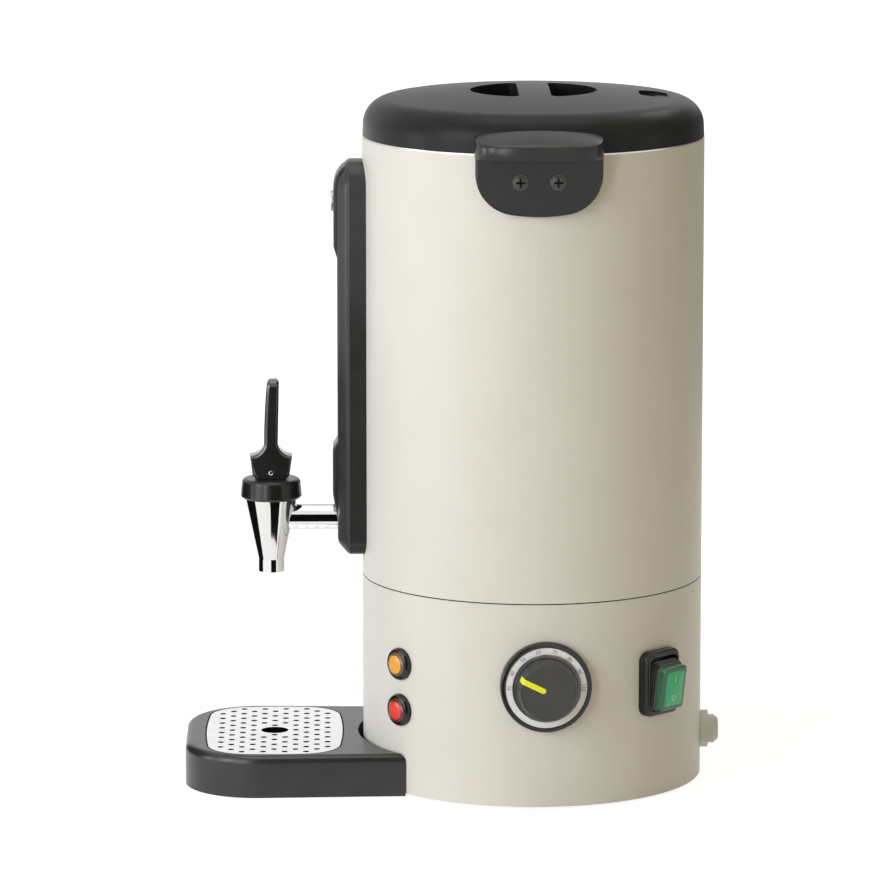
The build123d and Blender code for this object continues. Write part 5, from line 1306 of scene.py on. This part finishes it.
@dataclass
class ThermostatDial:
    """Ticks and numbers of the scale ring, the bezel's rolled edge and the knob's flange."""

    angle: float = 2.7
    height: float = 82.0
    wall_r: float = 113.0
    scale_front: float = 117.6
    print_lift: float = 0.06            # printing stands this far before the scale
    tick_turn: tuple[float, float, int] = (180.0, 0.0, 41)    # first, last, how many
    tick_outer: float = 26.45
    tick_inner: float = 26.0
    tick_half: float = 0.10
    long_every: int = 5                 # every fifth tick is longer and thicker
    long_extra: float = 0.15
    long_half: float = 0.16
    number_r: float = 24.2
    number_size: float = 3.4
    numbers: tuple[tuple[str, float], ...] = (    # each with its angle
        ("30", 180.0), ("40", 156.0), ("50", 129.0), ("60", 103.0), ("70", 77.0), ("80", 51.0),
        ("90", 26.0), ("110", 0.0))
    bezel: Profile = (                  # radius, distance outward
        (9.2, 0.8), (9.2, 3.55), (26.7, 3.55), (26.75, 4.9), (27.0, 5.15), (27.5, 5.25),
        (28.3, 5.2), (29.0, 4.9), (29.6, 4.3), (29.9, 3.3), (29.9, -4.4), (28.2, -4.4),
        (28.2, 0.8), (9.2, 0.8))
    flange: Profile = (
        (20.2, 5.0), (22.0, 5.0), (22.4, 5.2), (22.5, 5.6), (22.45, 6.3), (22.1, 6.75),
        (21.6, 6.9), (21.0, 6.9), (20.8, 7.2), (20.2, 7.2), (20.2, 5.0))

    def printed(self, flat: Array) -> Array:
        """Lays flat points on the scale ring.

        Args:
            flat: Pairs of distance across and up from the dial's middle.

        Returns:
            The points.
        """
        dial = on_wall(self.angle, self.height)
        return dial.ring(flat, self.scale_front + self.print_lift)

    def ticks(self) -> bpy.types.Mesh:
        """Makes the printed lines: short bars along the radius at even angles.

        Returns:
            The mesh.
        """
        start, end, count = self.tick_turn
        angle = np.radians(np.linspace(start, end, count))
        long = np.arange(count) % self.long_every == 0
        inner = np.where(long, self.tick_inner - self.long_extra, self.tick_inner)
        half = np.where(long, self.long_half, self.tick_half)
        radial = np.stack([np.cos(angle), np.sin(angle)], 1)
        side = np.stack([-np.sin(angle), np.cos(angle)], 1) * half[:, None]
        near, far = radial * inner[:, None], radial * self.tick_outer
        flat = np.stack([near - side, far - side, far + side, near + side], 1).reshape(-1, 2)
        return plain_mesh("scale_ticks", self.printed(flat),
                          np.arange(count * 4).reshape(-1, 4))

    def number(self, text: str, degrees: float) -> bpy.types.Mesh:
        """Makes one number, its top turned outward.

        Args:
            text: The number.
            degrees: Its angle round the dial.

        Returns:
            The mesh.
        """
        turn = math.radians(degrees)
        outward = np.array([math.cos(turn), math.sin(turn)])
        beside = np.array([math.sin(turn), -math.cos(turn)])

        def lay(across: Array, up: Array) -> Array:
            """Lays flat lettering on the ring, its foot towards the dial's middle."""
            return self.printed(outward * self.number_r + across[:, None] * beside
                                + up[:, None] * outward)

        return lettering(f"scale_number_{text}", text, self.number_size, lay)

    def build(self) -> None:
        """Builds the bezel, the knob's flange and the printing of the scale."""
        wall = on_wall(self.angle, self.height, self.wall_r)
        piece("dial_bezel_ring", shell_mesh("dial_bezel", [revolved(self.bezel, wall)]),
              PALETTE.gloss, "urn", ("dial_bezel",))
        piece("knob_flange", shell_mesh("knob_flange", [revolved(self.flange, wall)]),
              PALETTE.lever, "knob")
        piece("scale_ticks", self.ticks(), PALETTE.print_grey, "urn")
        for text, degrees in self.numbers:
            piece(f"scale_number_{text}", self.number(text, degrees), PALETTE.print_grey, "urn")


@dataclass
class PilotLamp:
    """One pilot lamp: a domed glossy bezel and a faceted lens, its outer facets painted darker as
    shade round its bright middle.

    Attributes:
        name: Name of the lamp, and of its CAD nodes before _bezel and _lens.
        height: Height of the lamp's middle.
        finish: Finish of the lens's middle.
        rim_finish: Finish of its outer rings, painted darker as shade round the lens's bright
            middle.
    """

    name: str
    height: float
    finish: Finish
    rim_finish: Finish
    angle: float = -51.8
    wall_r: float = 113.0
    bezel: Profile = (                  # radius, distance outward
        (8.1, 1.0), (8.15, 3.2), (8.35, 3.65), (8.7, 3.85), (9.2, 3.8), (9.8, 3.4), (10.3, 2.7),
        (10.65, 1.8), (10.8, 0.8), (10.8, -1.0), (8.1, -1.0), (8.1, 1.0))
    facets: int = 12                    # the lens
    lens_r: float = 8.3
    lens_seat: float = 1.0
    lens_top: float = 5.6
    lens_rings: Profile = (             # share of the radius, share of the height
        (1.0, 0.0), (1.0, 0.55), (0.94, 0.68), (0.74, 0.86), (0.48, 0.97), (0.2, 1.0))
    core_r: float = 5.2
    smooth_below: float = 8.0

    def lens(self, place: Place) -> Array:
        """Surface of the lens: rings that rise to a flat middle, turned half a facet each.

        Args:
            place: The lamp's place on the wall.

        Returns:
            The grid.
        """
        rings = []
        for row, (share, rise) in enumerate(self.lens_rings):
            angle = (np.arange(self.facets) + 0.5 * (row % 2)) * 2 * math.pi / self.facets
            radius = share * self.lens_r
            out = self.lens_seat + rise * (self.lens_top - self.lens_seat)
            rings.append(place.at(radius * np.cos(angle), radius * np.sin(angle), out))
        return lofted(rings)

    def build(self) -> None:
        """Builds bezel and lens, and gives the lens's outer facets their own darker finish, painted
        shade.
        """
        place = on_wall(self.angle, self.height, self.wall_r)
        bezel = shell_mesh(f"{self.name}_bezel", [revolved(self.bezel, place)])
        piece(f"{self.name}_bezel_ring", bezel, PALETTE.gloss, "urn", (f"{self.name}_bezel",))
        lens = shell_mesh(self.name, [self.lens(place)], self.smooth_below)
        made = piece(f"{self.name}_facets", lens, self.finish, "urn", (f"{self.name}_lens",))

        def outside_core(middles: Array, normals: Array) -> Array:
            """Tells the facets that lie outside the lens's core, whatever way they face: these take
            the painted shade.
            """
            from_lamp = middles - place.origin
            return np.hypot(from_lamp @ place.across, from_lamp @ place.up) > self.core_r

        trim(made, self.rim_finish, outside_core)


@dataclass
class RockerSwitch:
    """Splash-proof rocker switch: frame with a raised rim, rubber bellows, green cap with marks."""

    angle: float = 44.8
    height: float = 78.0
    wall_r: float = 113.0
    frame_size: tuple[float, float] = (33.2, 43.4)
    frame_corner: float = 6.5
    frame_edge: float = 2.0
    frame_front: float = 6.4
    frame_shoulder: float = 0.8         # the rounded edge ends this far under the front
    frame_foot: float = 0.05
    window: tuple[float, float] = (26.6, 35.6)
    window_corner: float = 4.6
    window_rim: Profile = (             # growth round the window, distance from the front
        (0.9, -0.8), (0.75, -0.25), (0.5, 0.0), (0.2, 0.0), (0.0, -0.3), (0.0, -6.2))
    pivot: float = -3.0                 # the rocker
    tilt: float = 8.0
    cap_size: tuple[float, float] = (22.4, 29.4)
    cap_corner: float = 3.0
    cap_edge: float = 1.5
    cap_back: float = 10.0
    cap_front: float = 15.4
    face_border: float = 3.0
    face_corner: float = 1.6
    face_edge: Profile = ((0.0, -0.6), (0.0, 0.1), (0.25, 0.25))    # inset, rise over the cap
    folds: Profile = (                  # distance outward, growth round the cap
        (3.0, 0.4), (3.9, 1.8), (4.2, 1.8), (4.9, 0.4), (5.7, 1.6), (6.0, 1.6), (6.7, 0.2),
        (7.5, 1.4), (7.8, 1.4), (8.5, 0.0), (9.2, 1.0), (9.5, 1.0), (10.3, 0.2))
    fold_corner: float = 4.0
    fold_smooth_below: float = 50.0
    mark_size: float = 5.5
    mark_lift: float = 0.32
    marks: tuple[tuple[str, str, float], ...] = (("on", "I", 6.0), ("off", "O", -6.6))

    def frame(self, place: Place) -> Array:
        """Surface of the frame: up the outer wall, over the round edge, down into the window.

        Args:
            place: The switch's place on the wall.

        Returns:
            The grid.
        """
        outer = plate_outline(*self.frame_size, self.frame_corner)
        rings = [place.ring(outer, wall_depth(outer, self.wall_r) - self.wall_r
                            + self.frame_foot)]
        rings += [place.ring(plate_outline(*self.frame_size, self.frame_corner, inset),
                             self.frame_front - self.frame_shoulder - drop)
                  for inset, drop in edge_round(self.frame_edge)]
        wide, high = self.window
        rings += [place.ring(plate_outline(wide + 2 * grow, high + 2 * grow,
                                           self.window_corner + grow), self.frame_front + out)
                  for grow, out in self.window_rim]
        return lofted(rings)

    def boot(self, place: Place) -> Array:
        """Surface of the bellows: a rounded outline that swells and narrows from fold to fold.

        Args:
            place: The rocker's tilted place.

        Returns:
            The grid.
        """
        wide, high = self.cap_size
        return lofted([
            place.ring(plate_outline(wide + 2 * grow, high + 2 * grow, self.fold_corner), out)
            for out, grow in self.folds])

    def cap(self, place: Place) -> Array:
        """Surface of the cap: straight sides, a round edge and a flat face.

        Args:
            place: The rocker's tilted place.

        Returns:
            The grid.
        """
        rings = [place.ring(plate_outline(*self.cap_size, self.cap_corner), self.cap_back)]
        rings += [place.ring(plate_outline(*self.cap_size, self.cap_corner, inset),
                             self.cap_front - drop)
                  for inset, drop in edge_round(self.cap_edge)]
        return lofted(rings)

    def face(self, place: Place) -> Array:
        """Surface of the window in the cap's face, a thin plate with an eased edge, brightened by a
        painted glow.

        Args:
            place: The rocker's tilted place.

        Returns:
            The grid.
        """
        wide, high = (side - 2 * self.face_border for side in self.cap_size)
        return lofted([place.ring(plate_outline(wide, high, self.face_corner, inset),
                                  self.cap_front + out) for inset, out in self.face_edge])

    def mark(self, name: str, text: str, up: float, place: Place) -> None:
        """Prints one switch mark on the face.

        Args:
            name: Name of the piece.
            text: The mark.
            up: Height of its middle over the middle of the face.
            place: The rocker's tilted place.
        """
        def lay(across: Array, rise: Array) -> Array:
            """Lays flat lettering just above the face."""
            return place.at(across, rise + up, self.cap_front + self.mark_lift)

        piece(name, lettering(name, text, self.mark_size, lay), PALETTE.print_white, "rocker")

    def build(self) -> None:
        """Builds the switch."""
        fixed = on_wall(self.angle, self.height, self.wall_r)
        moving = fixed.tilted(self.pivot, self.tilt)
        bellows = shell_mesh("switch_bellows", [self.boot(moving)], self.fold_smooth_below)
        piece("switch_frame_moulding", shell_mesh("switch_frame", [self.frame(fixed)]),
              PALETTE.satin, "urn", ("switch_frame",))
        piece("switch_bellows", bellows, PALETTE.boot, "rocker", ("switch_boot",))
        piece("switch_cap", shell_mesh("switch_cap", [self.cap(moving)]), PALETTE.green,
              "rocker", ("switch_rocker",))
        piece("switch_face", shell_mesh("switch_face", [self.face(moving)]), PALETTE.window,
              "rocker")
        for state, text, up in self.marks:
            self.mark(f"switch_mark_{state}", text, up, moving)


@dataclass
class DripGrille:
    """Perforated plate of the tray, with painted shade on its hole walls and round its holes, and a
    dark line of painted shadow in the gap round it.
    """

    middle_y: float = -172.5
    top_z: float = 28.0
    top_reach: float = 0.01
    band_lift: float = 0.04             # the dark bands of painted shade lie this far over the plate
    pitch: float = 7.1
    hole_r: float = 1.7
    hole_reach: float = 0.25            # a wall's faces lie this close to the hole's radius
    hole_clear: float = 0.2
    least_faces: int = 8
    rim_steps: int = 16
    rim_inner: float = 0.96             # share of the hole's radius
    rim_outer_r: float = 2.1
    finger_clear: float = 12.0
    gap: tuple[float, float] = (-0.05, -1.0)    # insets of the line's two edges
    wall_below: float = 0.5             # upward share of the normal under which a face is a wall
    smooth_below: float = 30.0

    def is_wall(self, middles: Array, normals: Array) -> Array:
        """Tells the upright faces, wherever they lie, from the flat ones."""
        return np.abs(normals[:, 2]) < self.wall_below

    def holes(self, mesh: bpy.types.Mesh) -> Array:
        """Finds the middles of the small holes.

        They stand on a square grid: the face middles of the hole walls are rounded to the grid,
        and a grid point that enough of them lie round closely is a hole.

        Args:
            mesh: The plate.

        Returns:
            Pairs of distances from the plate's middle.
        """
        middles = local_points(mesh.polygons, "center")
        flat = middles[:, :2] - (0.0, self.middle_y)
        grid = np.round(flat / self.pitch)
        from_hole = np.hypot(*(flat - grid * self.pitch).T)
        close = np.abs(from_hole - self.hole_r) < self.hole_reach
        wall = self.is_wall(middles, gathered(mesh.polygons, "normal", 3))
        found, count = np.unique(grid[close & wall], axis=0, return_counts=True)
        return found[count >= self.least_faces] * self.pitch

    def outline(self, mesh: bpy.types.Mesh, holes: Array) -> Array:
        """Finds the plate's outline: its top points away from all holes, in order of their angle.

        Args:
            mesh: The plate.
            holes: Middles of the holes.

        Returns:
            Pairs of distances from the plate's middle.
        """
        points = local_points(mesh.vertices)
        top = points[points[:, 2] > self.top_z - self.top_reach]
        flat = top[:, :2] - (0.0, self.middle_y)
        nearest = np.hypot(*np.moveaxis(flat[:, None] - holes[None], -1, 0)).min(1)
        off_holes = nearest > self.hole_r + self.hole_clear
        flat = flat[off_holes & (np.hypot(*flat.T) > self.finger_clear)]
        return flat[np.argsort(np.arctan2(flat[:, 1], flat[:, 0]))]

    def bands(self, name: str, inner: Array, outer: Array) -> bpy.types.Mesh:
        """Makes flat closed bands just over the plate's level.

        Each inner point and the next one are joined to their outer ones by a quad.

        Args:
            name: Name of the mesh.
            inner: Inner outlines, one row of points for each band.
            outer: Outer outlines with as many points.

        Returns:
            The mesh.
        """
        rings = np.stack([inner, outer], 1) + (0.0, self.middle_y)
        height = np.full((*rings.shape[:-1], 1), self.top_z + self.band_lift)
        index = np.arange(height.size).reshape(rings.shape[:-1])
        beside = np.roll(index, -1, 2)
        quads = np.stack([index[:, 0], index[:, 1], beside[:, 1], beside[:, 0]], -1)
        points = np.concatenate([rings, height], -1)
        return plain_mesh(name, points.reshape(-1, 3), quads.reshape(-1, 4))

    def build(self) -> None:
        """Builds the plate, the painted shade round its holes and the painted shadow line round it.
        """
        plate = merged_copy("drip_grille")
        holes = self.holes(plate)
        # Dark rings of painted shade round the holes.
        turn = np.radians(np.arange(self.rim_steps) * 360.0 / self.rim_steps)
        circle = np.stack([np.cos(turn), np.sin(turn)], -1)
        rims = [holes[:, None] + radius * circle[None]
                for radius in (self.hole_r * self.rim_inner, self.rim_outer_r)]
        piece("grille_hole_shade_rims", self.bands("grille_hole_shade_rims", *rims), PALETTE.painted_shade,
              "grille")
        # A dark line of painted shadow in the gap round the plate.
        outline = self.outline(plate, holes)
        near, far = (drawn_in(outline, inset)[None] for inset in self.gap)
        piece("grille_gap_shadow_line", self.bands("grille_gap_shadow_line", near, far), PALETTE.painted_shade,
              "tray")
        made = piece("drip_grille_plate", shaded(plate, self.smooth_below), PALETTE.grille,
                     "grille", ("drip_grille",))
        # The hole walls take the painted shade.
        trim(made, PALETTE.painted_shade, self.is_wall)


@dataclass
class ValveSpring:
    """Spring between the stem's flange and the bonnet, riding on the stem.

    Attributes:
        lift: Travel of the stem, in metres. Not used.
        spare: Room left over the pressed spring. Not used.
    """

    lift: float = 5.3 * MM
    spare: float = 0.3 * MM

    def build(self) -> None:
        """Stands a copy in the spring's place, on a mesh of its own."""
        mesh = merged_copy("valve_spring")
        mesh.shade_smooth()
        made = piece("valve_spring_coil", mesh, PALETTE.zinc, "stem", ("valve_spring",))
        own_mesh(made)


# ---- studio ----
def aimed(made: bpy.types.Object, place: Spot, direction: Vector) -> None:
    """Puts a lamp or a camera in its place and turns it.

    Args:
        made: The object.
        place: Where it stands, in metres.
        direction: The direction that it looks in.
    """
    made.location = place
    made.rotation_euler = direction.to_track_quat("-Z", "Y").to_euler()


@dataclass(frozen=True)
class GlossCard:
    """Black card that only shows as a dark band in polished metal.

    Attributes:
        name: Name of the card.
        middle: The point that it stands round, in metres.
        radius: Distance from that point.
        start: Angle of its first edge, in degrees from +X towards +Y.
        end: Angle of its last edge.
        low: Height of its lower edge.
        high: Height of its upper edge.
        glow: Strength of its grey.
        colour: Colour of its face.
        steps: Quads along the bend.
    """

    name: str
    middle: tuple[float, float]
    radius: float
    start: float
    end: float
    low: float
    high: float
    glow: float = 0.0
    colour: Colour = (0.012, 0.012, 0.012)
    steps: int = 16

    def build(self) -> None:
        """Builds the card, an upright strip bent round its middle point."""
        columns = self.steps + 1
        angle = np.radians(np.linspace(self.start, self.end, columns))
        rim = np.stack([self.middle[0] + self.radius * np.cos(angle),
                        self.middle[1] + self.radius * np.sin(angle)], 1)
        points = np.concatenate([np.column_stack([rim, np.full(columns, level)])
                                 for level in (self.low, self.high)])
        index = np.arange(self.steps)
        quads = np.stack([index, index + 1, index + columns + 1, index + columns], 1)
        mesh = bpy.data.meshes.new(self.name)
        mesh.from_pydata(points.tolist(), [], quads.tolist())
        card = linked(self.name, mesh)
        material = bpy.data.materials.new(self.name)
        material.use_nodes = True
        wiring = Wiring(material.node_tree)
        wiring.fill(wiring.tree.nodes["Principled BSDF"], {
            "Base Color": (*self.colour, 1.0), "Specular IOR Level": 0.0,
            "Emission Color": (1.0, 1.0, 1.0, 1.0), "Emission Strength": self.glow})
        mesh.materials.append(material)
        card.visible_camera = card.visible_diffuse = card.visible_shadow = False
        card.visible_transmission = False


@dataclass(frozen=True)
class SoftBox:
    """One rectangular studio lamp.

    Attributes:
        name: Name of the lamp.
        place: Where it stands, in metres.
        target: The point that it faces.
        width: Width of its window.
        height: Height of its window.
        power: Power in watts.
        tint: Colour of its light.
    """

    name: str
    place: Spot
    target: Spot
    width: float
    height: float
    power: float
    tint: Colour = (1.0, 1.0, 1.0)

    def build(self) -> None:
        """Builds the lamp."""
        lamp = bpy.data.lights.new(self.name, "AREA")
        lamp.shape = "RECTANGLE"
        lamp.size, lamp.size_y = self.width, self.height
        lamp.energy, lamp.color = self.power, self.tint
        aimed(linked(self.name, lamp), self.place, Vector(self.target) - Vector(self.place))


@dataclass(frozen=True)
class Studio:
    """White sweep, soft lamps and the world's light.

    Attributes:
        floor_radius: Radius of the round floor.
        floor_steps: Points round it.
        floor_colour: Colour of the floor where it takes the lamps' light.
        floor_glow: Strength of its plain white.
        near_white: Share of plain white near the object.
        fade_start: Distance from the middle at which that share starts to grow.
        fade_end: Distance at which the floor is plain white.
        ambient: Strength of the world's light on the object.
        ambient_tint: Colour of that light.
        lamps: The lamps.
        cards: The dark cards, two round the tap and two round the whole urn.
    """

    floor_radius: float = 6.0
    floor_steps: int = 64
    floor_colour: Colour = (0.93, 0.915, 0.87)
    floor_glow: float = 1.22
    near_white: float = 0.72
    fade_start: float = 0.35
    fade_end: float = 1.3
    ambient: float = 0.20
    ambient_tint: Colour = (1.0, 0.81, 0.42)
    lamps: tuple[SoftBox, ...] = (
        SoftBox("key", (1.6, -2.05, 1.1), (0.0, 0.05, 0.25), 1.1, 2.0, 35.0, (0.92, 0.96, 1.0)),
        SoftBox("strip", (2.05, -1.0, 0.8), (0.0, 0.05, 0.25), 0.24, 1.6, 10.5),
        SoftBox("side", (0.25, -2.2, 0.36), (0.0, 0.0, 0.2), 0.45, 0.7, 6.0),
        SoftBox("fill", (2.7, 0.9, 1.2), (0.0, 0.05, 0.22), 0.9, 1.6, 5.0, (1.0, 0.66, 0.16)),
        SoftBox("rear", (-1.8, 1.1, 1.7), (0.0, 0.05, 0.22), 1.4, 0.9, 16.0, (1.0, 0.97, 0.90)),
        SoftBox("top", (0.1, 0.0, 2.4), (0.0, 0.05, 0.0), 1.6, 1.6, 13.0),
    )
    cards: tuple[GlossCard, ...] = (
        GlossCard("card_behind", (0.0, -0.121), 0.24, -142.0, -78.0, 0.001, 0.24),
        GlossCard("card_ahead", (0.0, -0.121), 0.24, -8.0, 40.0, 0.001, 0.30),
        GlossCard("card_right", (0.0, 0.05), 1.4, 96.0, 165.0, 0.001, 1.4, 0.20),
        GlossCard("card_high", (0.0, 0.05), 1.2, 150.0, 215.0, 0.50, 1.5, 0.68),
    )

    def build(self) -> None:
        """Builds floor, world, lamps and cards."""
        self._floor()
        self._world()
        for item in (*self.lamps, *self.cards):
            item.build()
        bpy.context.scene.view_settings.view_transform = "Standard"

    def _floor(self) -> None:
        """Builds a flat disc. Near the object it takes shadow, far out it is plain white."""
        angle = np.linspace(0.0, 2 * math.pi, self.floor_steps, endpoint=False)
        rim = np.stack([self.floor_radius * np.cos(angle), self.floor_radius * np.sin(angle),
                        np.zeros_like(angle)], 1)
        mesh = bpy.data.meshes.new("studio_floor")
        mesh.from_pydata(rim.tolist(), [], [list(range(len(rim)))])
        floor = linked("studio_floor", mesh)
        material = bpy.data.materials.new("studio_floor")
        material.use_nodes = True
        wiring = Wiring(material.node_tree)
        wiring.tree.nodes.clear()
        coords = wiring.add("TexCoord").outputs["Object"]
        distance = wiring.add("VectorMath", {0: coords}, operation="LENGTH")
        fade = wiring.add("MapRange", {
            "From Min": self.fade_start, "From Max": self.fade_end, "To Min": self.near_white,
            "Value": distance.outputs["Value"]}, interpolation_type="SMOOTHSTEP")
        share = wiring.add("Math", {0: self._seen(wiring), 1: fade.outputs["Result"]},
                           operation="MULTIPLY")
        white = wiring.add("Emission", {"Strength": self.floor_glow})
        lit = wiring.add("BsdfDiffuse", {"Color": (*self.floor_colour, 1.0)})
        mix = wiring.add("MixShader", {"Fac": share.outputs["Value"], 1: lit.outputs["BSDF"],
                                       2: white.outputs["Emission"]})
        wiring.add("OutputMaterial", {"Surface": mix.outputs["Shader"]})
        mesh.materials.append(material)

    def _seen(self, wiring: Wiring) -> bpy.types.NodeSocket:
        """Adds up the camera, glossy and transmission rays.

        Args:
            wiring: The tree.

        Returns:
            An output that is 1 for those rays and 0 for the rest.
        """
        path = wiring.add("LightPath")
        total = path.outputs["Is Camera Ray"]
        for other in ("Is Glossy Ray", "Is Transmission Ray"):
            larger = wiring.add("Math", {0: total, 1: path.outputs[other]}, operation="MAXIMUM")
            total = larger.outputs["Value"]
        return total

    def _world(self) -> None:
        """Builds the world: plain white where it is seen, softer where it lights the object."""
        world = bpy.data.worlds.new("studio")
        bpy.context.scene.world = world
        world.use_nodes = True
        wiring = Wiring(world.node_tree)
        wiring.tree.nodes.clear()
        strength = wiring.add("MapRange", {"To Min": self.ambient, "To Max": 1.0,
                                           "Value": self._seen(wiring)}).outputs["Result"]
        hue = wiring.add("Mix", {"A": (*self.ambient_tint, 1.0), "B": (1.0, 1.0, 1.0, 1.0),
                                 "Factor": strength}, data_type="RGBA")
        background = wiring.add("Background", {"Color": hue.outputs["Result"],
                                               "Strength": strength})
        wiring.add("OutputWorld", {"Surface": background.outputs["Background"]})


@dataclass(frozen=True)
class Viewpoint:
    """The camera.

    Attributes:
        place: Where it stands, in metres.
        forward: The direction that it looks in.
        lens: Focal length in millimetres.
        sensor: Width of the sensor in millimetres.
        reach: Distance up to which it sees, in metres.
    """

    place: Spot = (3.7283, -0.0769, 0.8827)
    forward: Spot = (-0.98450, 0.01891, -0.17440)
    lens: float = 230.3
    sensor: float = 36.0
    reach: float = 50.0

    def build(self) -> None:
        """Makes the camera and hands it to the scene."""
        camera = bpy.data.cameras.new("camera")
        camera.sensor_width, camera.lens, camera.clip_end = self.sensor, self.lens, self.reach
        holder = linked("camera", camera)
        aimed(holder, self.place, Vector(self.forward))
        bpy.context.scene.camera = holder


def main() -> None:
    """Builds the camera, the studio and every piece in order."""
    logging.basicConfig(level=logging.INFO, format="%(name)s: %(message)s")
    Viewpoint().build()
    Studio().build()
    dress_nodes(NODE_FINISHES)
    for part in (
        CarryHandle("right_handle", angle=0.0), CarryHandle("left_handle", angle=180.0),
        CrossHeads("right_screw", angle=0.0), CrossHeads("left_screw", angle=180.0),
        GaugeCover(), TapLever(), ValveSpring(), DripGrille(), ThermostatDial(),
        PilotLamp("amber_lamp", height=88.3, finish=PALETTE.amber, rim_finish=PALETTE.amber_rim),
        PilotLamp("red_lamp", height=57.4, finish=PALETTE.red, rim_finish=PALETTE.red_rim),
        RockerSwitch(),
    ):
        part.build()


if __name__ == "__main__":
    main()
